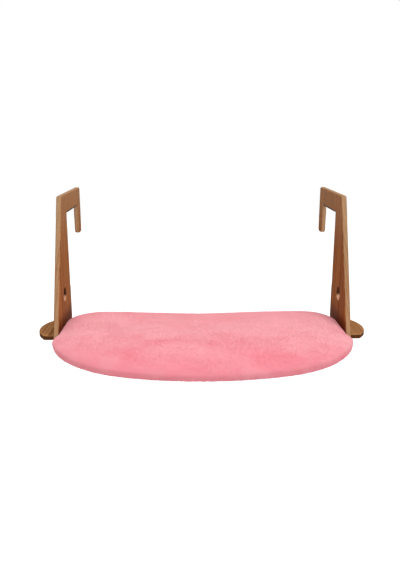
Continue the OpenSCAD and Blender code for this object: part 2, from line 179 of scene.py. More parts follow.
class Finishes(bpy.types.PropertyGroup):
    """Colours of the surfaces."""

    wood_light: colour("Wood, light", (0.69, 0.445, 0.235), "Light figure of the stained wood")
    wood_dark: colour("Wood, dark", (0.49, 0.27, 0.115), "Dark figure of the stained wood")
    # The brackets' edges are sanded paler than their faces; part of that difference is painted light, where
    # the front edges face the lamps
    wood_edge: colour("Wood, edge", (0.74, 0.585, 0.43), "Sanded edges of the brackets")
    # Painted shade: the right bracket's wood is drawn darker than the left's, as its faces get less light
    right_painted_shade: colour("Right painted shade", (0.925, 0.890, 0.845), "How the stain took on the right bracket")
    board_light: colour("Board, light", (0.73, 0.52, 0.33), "Light figure of the seat board")
    board_dark: colour("Board, dark", (0.54, 0.34, 0.18), "Dark figure of the seat board")
    board_edge: colour("Board, edge", (0.30, 0.13, 0.05), "Stained edges of the seat board")
    plush: colour("Plush", (1.0, 0.73, 0.755), "Plush where the pile stands up")
    plush_shade: colour("Plush, shade", (0.97, 0.575, 0.62), "Plush where the pile is brushed down")
    base: colour("Base", (0.66, 0.60, 0.61), "Woven base panel")
    felt: colour("Felt", (0.33, 0.22, 0.15), "Felt strips")
    grip: colour("Grip", (0.16, 0.15, 0.16), "Grip tape")
    tape: colour("Tape", (0.90, 0.55, 0.60), "Zip tape")
    coil: colour("Coil", (0.86, 0.50, 0.56), "Zip coil")
    nickel: colour("Nickel", (0.64, 0.64, 0.65), "Slider, pull and stops")
    zinc: colour("Zinc", (0.66, 0.67, 0.69), "Screws")
    filling: colour("Filling", (0.96, 0.95, 0.93), "Fibre filling")


class StageSizes(bpy.types.PropertyGroup):
    """Camera and floor."""

    focal_px: pixels("Focal length", 609.6, "Focal length in picture pixels")
    frame_px: pixels("Frame", 570.0, "Long side of the picture in pixels")
    camera_x: position("Camera X", -0.0200, "Camera across")
    camera_y: position("Camera Y", -0.9453, "Camera ahead of the foot")
    camera_z: position("Camera Z", 0.3417, "Camera above the foot")
    pitch: angle("Pitch", 14.2, "Camera tilt down")
    yaw: angle("Yaw", 0.93, "Camera turn to the right")
    drop: length("Drop", 0.62, "Height of the bed's foot above the floor")


# Meshes. A form is a tuple of whole arrays: its points, its quads and its triangles.

NO_QUADS = np.zeros((0, 4), int)
LATTICE_STEPS = np.array([374761393, 668265263, 2147483647])


def new_piece(name, form, body, material, replaced=(), flat_tris=False):
    """Puts a form into a mesh, and seats the piece on its body."""
    points, quads, tris = form
    mesh = bpy.data.meshes.new(name)
    corners = np.concatenate([np.ravel(quads), np.ravel(tris)]).astype(np.int32)
    counts = np.repeat([4, 3], [len(quads), len(tris)])
    starts = np.concatenate([[0], np.cumsum(counts)[:-1]]).astype(np.int32)
    mesh.vertices.add(len(points))
    mesh.vertices.foreach_set("co", np.asarray(points, np.float32).ravel())
    mesh.loops.add(len(corners))
    mesh.loops.foreach_set("vertex_index", corners)
    mesh.polygons.add(len(counts))
    mesh.polygons.foreach_set("loop_start", starts)
    mesh.update(calc_edges=True)
    mesh.polygons.foreach_set("use_smooth", (counts == 4) | (not flat_tris))
    mesh.materials.append(material)
    mesh.validate()
    piece = bpy.data.objects.new(name, mesh)
    bpy.context.scene.collection.objects.link(piece)
    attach(piece, body)
    if replaced:
        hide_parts(*replaced)
    return piece


def add_attribute(piece, name, values):
    """One number per point, for a material to read."""
    attribute = piece.data.attributes.new(name, "FLOAT", "POINT")
    attribute.data.foreach_set("value", np.asarray(values, np.float32).ravel())


def grid_quads(rows, columns, start=0):
    """Faces of a grid whose columns close on themselves, looking along column x row."""
    r = np.arange(rows - 1)[:, None]
    c = np.arange(columns)[None, :]
    below = start + r * columns
    above = below + columns
    right = (c + 1) % columns
    return np.stack([below + c, below + right, above + right, above + c], axis=-1).reshape(-1, 4)


def joined(forms):
    """Several forms as one, their points one after the other."""
    starts = np.cumsum([0, *(len(form[0]) for form in forms[:-1])])
    points = np.concatenate([form[0] for form in forms])
    faces = [np.concatenate([form[k] + start for form, start in zip(forms, starts)]) for k in (1, 2)]
    return points, *faces


def flipped(form):
    """The same form with its faces looking the other way."""
    points, quads, tris = form
    return points, quads[:, ::-1], tris[:, ::-1]


def unit(vectors):
    """The same directions at length 1."""
    return vectors / np.maximum(np.linalg.norm(vectors, axis=-1, keepdims=True), 1e-12)


def lattice_value(cell, seed):
    """A fixed pseudo-random number from 0 to 1 for each whole-number place, from its mixed bits."""
    n = (cell @ LATTICE_STEPS + seed * 144269504) & 0x7FFFFFFF
    n = ((n ^ (n >> 13)) * 1274126177) & 0x7FFFFFFF
    return ((n ^ (n >> 16)) & 0xFFFF) / 65535.0


def value_noise(points, size, seed):
    """Smooth noise from -1 to 1: lattice values a size apart, blended by a cubic step along each axis."""
    p = np.asarray(points, float) / size + 1000.0
    cell = np.floor(p).astype(np.int64)
    f = p - cell
    f = f * f * (3 - 2 * f)
    total = np.zeros(p.shape[:-1])
    for corner in np.ndindex(2, 2, 2):
        weight = np.prod(np.where(corner, f, 1 - f), axis=-1)
        total += weight * lattice_value(cell + corner, seed)
    return total * 2 - 1


def fractal_noise(points, size, seed, layers):
    """Sum of smooth noises, each half the size and half the height of the one before."""
    return sum(value_noise(points, size / 2**k, seed + k) / 2**k for k in range(layers))


# Flat boards with sanded edges. A board is drawn flat, its thickness third; each tuple says which of
# its own three axes lies along X, Y and Z.

STANDING = (2, 0, 1)
LYING = (0, 1, 2)
FACING_BACK = (1, 2, 0)


def arc(centre, radius, start, end, steps):
    """Points along an arc, angles in radians, both ends included."""
    a = np.linspace(start, end, steps + 1)
    return np.asarray(centre) + radius * np.stack([np.cos(a), np.sin(a)], axis=1)


def circle(centre, radius, steps=48):
    """Points round a full circle."""
    return arc(centre, radius, 0, 2 * math.pi, steps)[:-1]


def rectangle(low, high):
    """The four corners of an upright rectangle, anticlockwise."""
    return np.array([low, (high[0], low[1]), high, (low[0], high[1])], float)


def corner_points(before, corner, after, radius, steps):
    """Arc that touches both sides of a corner."""
    before, corner, after = (np.asarray(p, float) for p in (before, corner, after))
    u = unit(before - corner)
    v = unit(after - corner)
    half = math.acos(float(np.clip(u @ v, -1, 1))) / 2
    centre = corner + unit(u + v) * radius / math.sin(half)
    start = corner + u * radius / math.tan(half) - centre
    end = corner + v * radius / math.tan(half) - centre
    first = math.atan2(start[1], start[0])
    turn = math.atan2(start[0] * end[1] - start[1] * end[0], float(start @ end))
    return arc(centre, radius, first, first + turn, steps)


def rounded_outline(rows, steps=10):
    """Closed outline with each corner rounded; each row is a place and a radius."""
    after = rows[1:] + rows[:1]
    return np.concatenate([
        corner_points(rows[i - 1][0], spot, after[i][0], radius, steps)
        for i, (spot, radius) in enumerate(rows)
    ])


def signed_area(loop):
    """Area inside a loop, positive when it runs anticlockwise."""
    following = np.roll(loop, -1, axis=0)
    return float(np.sum(loop[:, 0] * following[:, 1] - following[:, 0] * loop[:, 1])) / 2


def outward_normals(loop):
    """Mitred normals of an anticlockwise loop, pointing out."""
    side = np.roll(loop, -1, axis=0) - loop
    n = unit(np.stack([side[:, 1], -side[:, 0]], axis=1))
    before = np.roll(n, 1, axis=0)
    return (n + before) / (1 + np.sum(n * before, axis=1, keepdims=True))


def sanded_profile(thickness, radius, steps=5):
    """Section of an edge: a quarter round at each face, as how far in and how far across."""
    if radius <= 0:
        return np.array([[0.0, 0.0], [0.0, thickness]])
    a = np.linspace(0, math.pi / 2, steps + 1)
    low = np.stack([radius * (1 - np.sin(a)), radius * (1 - np.cos(a))], axis=1)
    high = np.stack([low[::-1, 0], thickness - low[::-1, 1]], axis=1)
    return np.concatenate([low, high])


def sanded_board(name, loops, thickness, plane, start, body, material, replaced):
    """A flat board: the edge section carried along each loop, and the two faces filled in between.

    loops holds (outline, radius) with the outer outline first and the holes after it. plane says how
    the board lies, and start is where its thickness begins. Rounded edges are marked wear, and the
    walls of holes bore.
    """
    points, quads, wear, bore = [], [], [], []
    ends = ([], [])
    count = 0
    for number, (loop, radius) in enumerate(loops):
        hole = number > 0
        if (signed_area(loop) > 0) == hole:
            loop = loop[::-1]
        section = sanded_profile(thickness, radius)
        flat = loop[None] - outward_normals(loop)[None] * section[:, 0][:, None, None]
        rows, columns = flat.shape[:2]
        across = np.broadcast_to(section[:, 1][:, None, None], (rows, columns, 1))
        points.append(np.concatenate([flat, across], axis=2).reshape(-1, 3))
        quads.append(grid_quads(rows, columns, count))
        turned = np.sin(2 * np.pi * np.arange(rows) / (rows - 1)) ** 2 * (radius > 0)
        wear.append(np.repeat(turned, columns))
        bore.append(np.full(rows * columns, float(hole)))
        ends[0].append(count + np.arange(columns))
        ends[1].append(count + (rows - 1) * columns + np.arange(columns))
        count += rows * columns
    points = np.concatenate(points)
    tris = []
    for rows, up in zip(ends, (-1, 1)):
        index = np.concatenate(rows)
        filled = tessellate_polygon([[Vector((*points[i][:2], 0)) for i in row] for row in rows])
        t = index[np.asarray(filled, np.int64)]
        a, b, c = (points[t[:, k]][:, :2] for k in range(3))
        facing = np.sign((b - a)[:, 0] * (c - a)[:, 1] - (b - a)[:, 1] * (c - a)[:, 0]) * up
        t[facing < 0] = t[facing < 0][:, ::-1]
        tris.append(t)
    placed = points[:, plane]
    placed[:, plane.index(2)] += start
    form = (placed, np.concatenate(quads), np.concatenate(tris))
    piece = new_piece(name, form, body, material, replaced, flat_tris=True)
    add_attribute(piece, "wear", np.concatenate(wear))
    add_attribute(piece, "bore", np.concatenate(bore))
    return piece


def bracket_outline(s):
    """Side view of a bracket as (y, z): a foot that narrows upwards, an arm and a hanging prong."""
    foot_z = FOOT_Z + s.head_proud
    back_y = FOOT_Y + s.foot_depth
    prong_y = back_y + s.hook_gap
    arm_z = TOP_Z - s.arm_height
    tip_z = arm_z - s.prong_length
    return rounded_outline([
        ((FOOT_Y, foot_z), s.foot_radius),
        ((back_y, foot_z), s.foot_radius),
        ((back_y, arm_z), s.inner_radius),
        ((prong_y, arm_z), s.inner_radius),
        ((prong_y, tip_z), s.tip_radius),
        ((BRACKET_HIGH.y, tip_z), s.tip_radius),
        ((BRACKET_HIGH.y, TOP_Z), s.outer_radius),
        ((FOOT_Y + s.lean, TOP_Z), s.outer_radius),
    ])


def hole_centre(s):
    """The hole sits midway between the sloping front edge and the upright back edge."""
    slope = s.lean * s.hole_height / (TOP_Z - FOOT_Z)
    return ((2 * FOOT_Y + slope + s.foot_depth) / 2, FOOT_Z + s.hole_height)


def cushion_curves(s, inset):
    """The two front arcs of the cushion's plan, set in by a distance, from the middle to the bracket."""
    front_cy = COVER_LOW.y + s.front_radius
    centre_x = s.width / 2 - s.corner_radius
    centre_y = front_cy - math.sqrt((s.front_radius - s.corner_radius) ** 2 - centre_x**2)
    join = math.atan2(centre_y - front_cy, centre_x)
    lobe_y = FOOT_Y - s.side_play
    end = math.asin((lobe_y - (OUTER_X - INNER_X) / 3 - centre_y) / s.corner_radius)
    broad = arc((0, front_cy), s.front_radius - inset, -math.pi / 2, join, ARC_STEPS)
    tight = arc((centre_x, centre_y), s.corner_radius - inset, join, end, ARC_STEPS)
    return broad, tight


def mirrored(points):
    """The same points across X = 0, run backwards."""
    return points[::-1] * np.array([-1.0, 1.0])


def board_outline(s, c):
    """Plan of the seat board: a curved front, a shoulder at each bracket and an ear through it."""
    broad, tight = cushion_curves(c, s.overhang)
    tab_y0 = FOOT_Y + s.tab_front
    tab_y1 = tab_y0 + s.tab_depth
    shoulder_y = FOOT_Y + s.tab_front / 4
    centre_x = BOARD_HIGH.x - s.ear_radius
    half = math.asin(s.tab_depth / 2 / s.ear_radius)
    ear_x = centre_x + s.ear_radius * math.cos(half)
    bulge = arc((centre_x, (tab_y0 + tab_y1) / 2), s.ear_radius, -half, half, 24)
    rear_y = BOARD_HIGH.y
    right = np.concatenate([
        broad[1:],
        tight[1:],
        [(tight[-1][0], shoulder_y), (INNER_X, shoulder_y), (INNER_X, tab_y0)],
        corner_points((INNER_X, tab_y0), (ear_x, tab_y0), bulge[4], s.ear_corner, 6),
        bulge[4:-4],
        corner_points(bulge[-5], (ear_x, tab_y1), (INNER_X, tab_y1), s.ear_corner, 6),
        [(INNER_X, tab_y1)],
        corner_points((INNER_X, tab_y1), (INNER_X, rear_y), (0, rear_y), s.rear_corner, 10),
    ])
    return np.concatenate([broad[:1], right, mirrored(right)])


# Soft forms

# Gap under the cushion, where it rests on the board
REST_GAP = 0.3 * MM
# Gap between the cover's lining and the filling
FILLING_GAP = 0.3 * MM
# Points along each front arc of the plan
ARC_STEPS = 60
# Where the hem lies under the rim, as a share of its width, and how far it follows the smoothed outline
HEM_IN = 0.77
HEM_EASED = 0.94
# Where the rolled edge passes into the crown: its share of the height, of the droop, and of the smoothing
EDGE_UP = 0.77
EDGE_DROOP = 0.36
EDGE_EASED = 0.98
# The higher the power, the flatter the middle of the crown
CROWN_POWER = 2.2
# Sizes of what noise draws: the cushion's dents, the patches of pile brushed one way, those laid
# flatter, the ruffles in them and the clumps
DENT, PATCH, FLAT_PATCH, RUFFLE, CLUMP = 95 * MM, 80 * MM, 34 * MM, 16 * MM, 7 * MM
# How near a tuft may come to the wood
TUFT_GAP = 0.25 * MM
# How deep a tuft's root is sunk into the backing
ROOT_DEPTH = 0.3 * MM


def evenly_spread(curve, samples, closed=False):
    """The same curve with a given number of points at equal distances along it."""
    ends = np.concatenate([curve, curve[:1]]) if closed else curve
    run = np.concatenate([[0], np.cumsum(np.linalg.norm(np.diff(ends, axis=0), axis=1))])
    at = np.linspace(0, run[-1], samples, endpoint=not closed)
    return np.stack([np.interp(at, run, ends[:, k]) for k in range(ends.shape[1])], axis=1)


def smooth_path(knots, samples):
    """Points evenly spread along a Catmull-Rom curve through the knots."""
    k = np.asarray(knots, float)
    k = np.concatenate([2 * k[:1] - k[1:2], k, 2 * k[-1:] - k[-2:-1]])
    t = np.linspace(0, len(k) - 3 - 1e-9, samples * 8)
    i = t.astype(int)
    f = (t - i)[:, None]
    a, b, c, d = k[i], k[i + 1], k[i + 2], k[i + 3]
    curve = 2 * b + (c - a) * f + (2 * a - 5 * b + 4 * c - d) * f**2 + (3 * b - a - 3 * c + d) * f**3
    return evenly_spread(0.5 * curve, samples)


def soft_step(value, low, high):
    """Runs smoothly from 0 at low to 1 at high."""
    t = np.clip((value - low) / (high - low), 0, 1)
    return t * t * (3 - 2 * t)


class CushionForm:
    """Plan and section of the cushion, shared by its cover, base and filling.

    A point of a surface is a place round the plan and a place along a section. A section is rows of
    six values: how far in from the outline, how high, the share of the front droop, the share of the
    rear draw-in, the size as a share of the whole, and how far it follows the smoothed outline.
    """

    def __init__(self, sizes, sides):
        self.s = sizes
        self.sides = sides
        self.side_x = INNER_X - sizes.side_play
        self.rear_y = COVER_HIGH.y
        self.centre = np.array([0.0, FOOT_Y - 0.4 * sizes.droop_run])
        self.low_z = BOARD_HIGH.z + REST_GAP
        self.high = COVER_HIGH.z - self.low_z
        self.outline = evenly_spread(self.plan(), sides, closed=True)
        self.eased = self.ease(self.outline)

    def plan(self):
        """Outline: front arcs that draw in towards the brackets, straight sides and rear corners."""
        broad, tight = cushion_curves(self.s, 0)
        r = self.s.rear_radius
        lobe_y = FOOT_Y - self.s.side_play
        full = soft_step(lobe_y - tight[:, 1], 0, self.s.lobe_run)
        tight[:, 0] = self.side_x + (tight[:, 0] - self.side_x) * full
        back = arc((self.side_x - r, self.rear_y - r), r, 0, math.pi / 2, 24)
        right = np.concatenate([broad[1:], tight[1:], [(self.side_x, lobe_y)], back])
        return np.concatenate([broad[:1], right, [(0, self.rear_y)], mirrored(right)])

    def ease(self, outline):
        """The outline kept to the room between the brackets, then smoothed round the loop.

        With g the gain of a Gaussian, the gain 1 - (1 - g)^2 leaves the broad curves where they are.
        """
        narrow = np.stack([np.clip(outline[:, 0], -self.side_x, self.side_x), outline[:, 1]], axis=1)
        pitch = np.linalg.norm(outline[1] - outline[0])
        turns = np.fft.rfftfreq(len(outline), pitch)[:, None]
        gain = np.exp(-2 * (np.pi * turns * self.s.ease) ** 2)
        return np.fft.irfft(np.fft.rfft(narrow, axis=0) * (1 - (1 - gain) ** 2), len(outline), axis=0)

    def ring_rows(self, section):
        """Grid of points: one row for each row of the section, one column for each place on the plan."""
        inset, height, droop, draw, size, eased = np.asarray(section, float).T[:, :, None]
        x, y = (self.outline[None, :, k] * (1 - eased) + self.eased[None, :, k] * eased for k in range(2))
        ahead = soft_step(FOOT_Y - self.outline[None, :, 1], 0, self.s.droop_run)
        rear = np.clip((y - self.rear_y + 0.6 * self.s.rear_radius) / (0.5 * self.s.rear_radius), 0, 1)
        rear = rear * np.cos(0.5 * np.pi * np.clip(x / self.side_x, -1, 1)) ** 2
        vx, vy = x - self.centre[0], y - self.centre[1]
        pull = size * (1 - (inset + self.s.draw_in * draw * rear) / np.hypot(vx, vy))
        z = np.broadcast_to(height - self.s.droop * droop * ahead, (len(section), self.sides))
        return np.stack([self.centre[0] + vx * pull, self.centre[1] + vy * pull, z], axis=2)

    def knots(self):
        """Section of the rolled edge, from the hem under it to its top.

        Each row is a share of the rim's width, of the height, of the droop, the draw-in and the smoothing.
        """
        rows = [
            (HEM_IN, (BASE_LOW.z - self.low_z) / self.high, 0, 0, HEM_EASED),
            (0.52, 0.015, 0, 0, 0),
            (0.30, 0, 0.80, 0, 0),
            (0.11, 0, 1, 0, 0),
            (0.02, 0.06, 0.86, 0, 0),
            (0, 0.18, 0.40, 0, 0),
            (0.05, 0.29, 0.14, 0.4, 0.06),
            (0.20, 0.44, 0.22, 0.8, 0.30),
            (0.52, 0.62, 0.34, 1, 0.85),
            (1, EDGE_UP, EDGE_DROOP, 1, EDGE_EASED),
        ]
        return np.array([(a * self.s.rim, self.low_z + b * self.high, c, d, 1, e) for a, b, c, d, e in rows])

    def crown(self, size, under=0.0, eased=EDGE_EASED):
        """Section of the domed top at shares of its size: a power curve, some distance under the top."""
        dome = EDGE_UP + (1 - EDGE_UP) * (1 - size**CROWN_POWER)
        height = self.low_z + self.high * dome - under
        one = np.ones_like(size)
        return np.stack([one * self.s.rim, height, EDGE_DROOP * size**3, one, size, one * eased], axis=1)

    def lining(self, play):
        """Section of the space inside the cover, from its foot to the middle of its roof."""
        inward = self.s.cover + play
        foot = [
            (self.s.rim * 0.5 + play, BASE_HIGH.z, 0, 0, 1, 1),
            (self.s.cover * 1.3 + play, BASE_HIGH.z + 0.8 * MM, 0, 0, 1, 1),
        ]
        wall = [(r[0] + inward, r[1] - inward, r[2], r[3], 1, 1) for r in self.knots()[7:]]
        return np.concatenate([foot, wall, self.crown(np.array([0.8, 0.6, 0.4, 0.2, 0.05]), inward, 1)])


def row_normals(rows):
    """Normals of a grid of points whose columns close, from the cross product of its two directions."""
    along = np.roll(rows, -1, axis=1) - np.roll(rows, 1, axis=1)
    return unit(np.cross(along, np.gradient(rows, axis=0)))


def capped_rings(rows, ends=None):
    """A closed form through rows of rings, with a point at each end: given, or midway in the ring."""
    count, sides = rows.shape[:2]
    if ends is None:
        ends = rows[[0, -1]].mean(axis=1)
    i = np.arange(sides)
    j = (i + 1) % sides
    first = np.full(sides, count * sides)
    top = (count - 1) * sides
    low = np.stack([first, j, i], axis=1)
    high = np.stack([first + 1, top + i, top + j], axis=1)
    points = np.concatenate([rows.reshape(-1, 3), ends])
    return points, grid_quads(count, sides), np.concatenate([low, high])


def tube_rows(path, radius, sides):
    """Rings of a round wire carried along a path, each square to it."""
    ahead = unit(np.gradient(path, axis=0))
    # Any direction that no wire here runs along
    across = unit(np.cross(ahead, np.array([0.31, 0.17, 0.93])))
    other = np.cross(ahead, across)
    a = np.linspace(0, 2 * math.pi, sides, endpoint=False)[None, :, None]
    return path[:, None] + radius * (np.cos(a) * across[:, None] + np.sin(a) * other[:, None])


def near_zip(points):
    """Runs from 0 to 1 towards the zip tape, so that the pile stops there.

    It fades out within 5 mm beside the tape, 2.4 mm above it and 9 mm ahead of it.
    """
    along = 1 - soft_step(np.abs(points[..., 0]), TAPE_HIGH.x, TAPE_HIGH.x + 5 * MM)
    up = 1 - soft_step(points[..., 2], TAPE_HIGH.z + 0.4 * MM, TAPE_HIGH.z + 2.4 * MM)
    back = soft_step(points[..., 1], TAPE_LOW.y - 9 * MM, TAPE_LOW.y - 5 * MM)
    return along * up * back


def backing(rows, s):
    """Moves a grid along its normals: in by the depth of the pile, and by soft dents and small clumps."""
    broad = s.swell * fractal_noise(rows * np.array([1, 1, 0.4]), DENT, 3, 2)
    clump = s.clump * fractal_noise(rows, CLUMP, 17, 3)
    level = soft_step(rows[..., 2], BASE_HIGH.z, BASE_HIGH.z + 6 * MM)
    moved = (broad * level + clump - s.sink) * (1 - near_zip(rows))
    return rows + row_normals(rows) * moved[..., None]


def kept_clear(points, margin):
    """Moves points out of the brackets and up off the board, each by the shorter way."""
    x, y, z = points[..., 0], points[..., 1], points[..., 2]
    px = np.abs(x) - (INNER_X - margin)
    py = y - (FOOT_Y - margin)
    inside = (px > 0) & (py > 0)
    x = np.where(inside & (px <= py), np.sign(x) * (INNER_X - margin), x)
    y = np.where(inside & (px > py), FOOT_Y - margin, y)
    over = (y > FOOT_Y - 3 * MM) & (y < BOARD_HIGH.y + margin)
    z = np.where(over, np.maximum(z, BOARD_HIGH.z + margin), z)
    return np.stack([x, y, z], axis=-1)


def pile_tufts(rows, s, parts, seed):
    """Tapered tufts of three sides on a grid of points, shared out from left to right over some parts.

    Roots are drawn at random in proportion to each cell's area. A tuft is laid along the brushed
    direction, which turns slowly over the surface and hangs down at the rim, with its broad side up.
    Its tip carries a mark of 1, its root 0.
    """
    rng = np.random.default_rng(seed)
    count = s.tufts * parts
    a, b = rows[:-1], rows[1:]
    area = np.linalg.norm(np.cross(np.roll(a, -1, axis=1) - a, b - a), axis=2).ravel()
    cell = rng.choice(area.size, size=count, p=area / area.sum())
    r, c = np.divmod(cell, rows.shape[1])
    c2 = (c + 1) % rows.shape[1]
    fr, fc = rng.random((2, count))[:, :, None]

    def blended(grid):
        low = grid[r, c] * (1 - fc) + grid[r, c2] * fc
        high = grid[r + 1, c] * (1 - fc) + grid[r + 1, c2] * fc
        return low * (1 - fr) + high * fr

    root = blended(rows)
    normal = unit(blended(row_normals(rows)))
    # Brushed towards the front, give or take a swirl, and down
    swirl = 0.8 * fractal_noise(root, PATCH, 41, 2) + 0.2 * fractal_noise(root, RUFFLE, 47, 2)
    turn = swirl - math.pi / 2
    brushed = np.stack([np.cos(turn), np.sin(turn), np.full_like(turn, -0.6)], axis=1)
    brushed -= normal * np.sum(brushed * normal, axis=1, keepdims=True)
    # Laid about twice as far as it stands up, with some scatter
    lean = (1.7 + 0.5 * fractal_noise(root, FLAT_PATCH, 53, 2) + 0.4 * rng.random(count))[:, None]
    way = unit(normal + brushed * lean + 0.22 * rng.normal(size=(count, 3)))
    tall = s.pile * (0.75 + 0.25 * rng.random(count))[:, None]
    crown = unit(normal - way * np.sum(normal * way, axis=1, keepdims=True))
    side = np.cross(way, crown)
    # The root is a flat triangle, twice as broad as it is thick
    wide = s.tuft * (0.7 + 0.6 * rng.random(count))[:, None]
    sunk = root - normal * ROOT_DEPTH
    outs = [crown * 0.6 * math.cos(a) + side * 1.2 * math.sin(a) for a in np.radians([60, 180, 300])]
    points = np.stack([*(sunk + wide * out for out in outs), root + way * tall], axis=1)
    points = kept_clear(points, TUFT_GAP)
    keep = near_zip(root) < 0.5
    points, tint = points[keep], rng.random(count)[keep]
    faces = np.array([[0, 1, 3], [1, 2, 3], [2, 0, 3], [0, 2, 1]])
    made = []
    for part in np.array_split(np.argsort(points[:, 3, 0]), parts):
        tris = (4 * np.arange(len(part))[:, None, None] + faces).reshape(-1, 3)
        marks = np.tile([0.0, 0.0, 0.0, 1.0], len(part))
        made.append(((points[part].reshape(-1, 3), NO_QUADS, tris), marks, np.repeat(tint[part], 4)))
    return made


def stitches(name, path, up, pitch, size, material):
    """A row of sewn stitches: small ellipsoids a pitch apart, each laid along the path and facing up."""
    count = int(np.linalg.norm(np.diff(path, axis=0), axis=1).sum() / pitch)
    line = evenly_spread(path, count * 2 + 1)
    middle = line[1::2]
    ahead = unit(line[2::2] - line[:-1:2])
    axes = np.stack([ahead, np.cross(up, ahead), np.broadcast_to(up, ahead.shape)], axis=1)
    v = np.linspace(0, math.pi, 6)[1:-1, None]
    u = np.linspace(0, 2 * math.pi, 8, endpoint=False)[None]
    rings = np.stack([np.cos(v) * np.ones_like(u), np.sin(v) * np.cos(u), np.sin(v) * np.sin(u)], axis=2)
    ball, quads, tris = flipped(capped_rings(rings, [(1, 0, 0), (-1, 0, 0)]))
    points = middle[:, None] + (ball * size) @ axes
    step = (np.arange(count) * len(ball))[:, None, None]
    form = (points.reshape(-1, 3), (quads + step).reshape(-1, 4), (tris + step).reshape(-1, 3))
    return new_piece(name, form, "cushion", material)


# Materials. Colours are scene-linear, scales are per metre.


class Nodes:
    """A node tree, with a short way to add each kind of step. All but link and put return an output."""

    def __init__(self, tree):
        self.tree = tree

    def link(self, value, socket):
        """Links an output to a socket, or writes a value into it; a colour is given as three numbers."""
        if isinstance(value, bpy.types.NodeSocket):
            self.tree.links.new(value, socket)
        else:
            socket.default_value = (*value, 1.0) if socket.type == "RGBA" else value

    def put(self, kind, values=None, **settings):
        """Adds a node, sets its options, and fills or links its inputs."""
        node = self.tree.nodes.new(f"ShaderNode{kind}")
        for key, value in settings.items():
            setattr(node, key, value)
        for key, value in (values or {}).items():
            self.link(value, node.inputs[key])
        return node

    def maths(self, operation, a, b=0.0, clamp=False):
        """One step of arithmetic."""
        return self.put("Math", {0: a, 1: b}, operation=operation, use_clamp=clamp).outputs[0]

    def times(self, a, b):
        return self.maths("MULTIPLY", a, b)

    def plus(self, a, b, clamp=False):
        return self.maths("ADD", a, b, clamp)

    def less(self, a, b, clamp=False):
        return self.maths("SUBTRACT", a, b, clamp)

    def vectors(self, operation, *values, output="Vector"):
        """One step of vector arithmetic."""
        return self.put("VectorMath", dict(enumerate(values)), operation=operation).outputs[output]

    def parts(self, vector):
        """X, Y and Z of a vector."""
        return self.put("SeparateXYZ", {0: vector}).outputs

    def attribute(self, name):
        """A number that a piece's points carry."""
        return self.put("Attribute", attribute_name=name).outputs["Fac"]

    def ramp(self, value, low, high):
        """Stretches the range from low to high over 0 to 1, smoothly."""
        values = {"Value": value, "From Min": low, "From Max": high}
        return self.put("MapRange", values, interpolation_type="SMOOTHSTEP", clamp=True).outputs[0]

    def noise(self, vector, scale, detail=2.0, roughness=0.5, along=None, output=0):
        """Noise from 0 to 1, drawn out by small factors in along."""
        if along:
            vector = self.vectors("MULTIPLY", vector, along)
        values = {"Vector": vector, "Scale": scale, "Detail": detail, "Roughness": roughness}
        return self.put("TexNoise", values).outputs[output]

    def mix(self, factor, a, b, mode="MIX"):
        """Mixes two colours by a factor."""
        return self.put("Mix", {0: factor, 6: a, 7: b}, data_type="RGBA", blend_type=mode).outputs[2]

    def laid_over(self, tone, mask, share, second, mode="MIX"):
        """A tone with a second one laid over it: a share of it where the mask is 1."""
        return self.mix(self.times(mask, share), tone, second, mode)


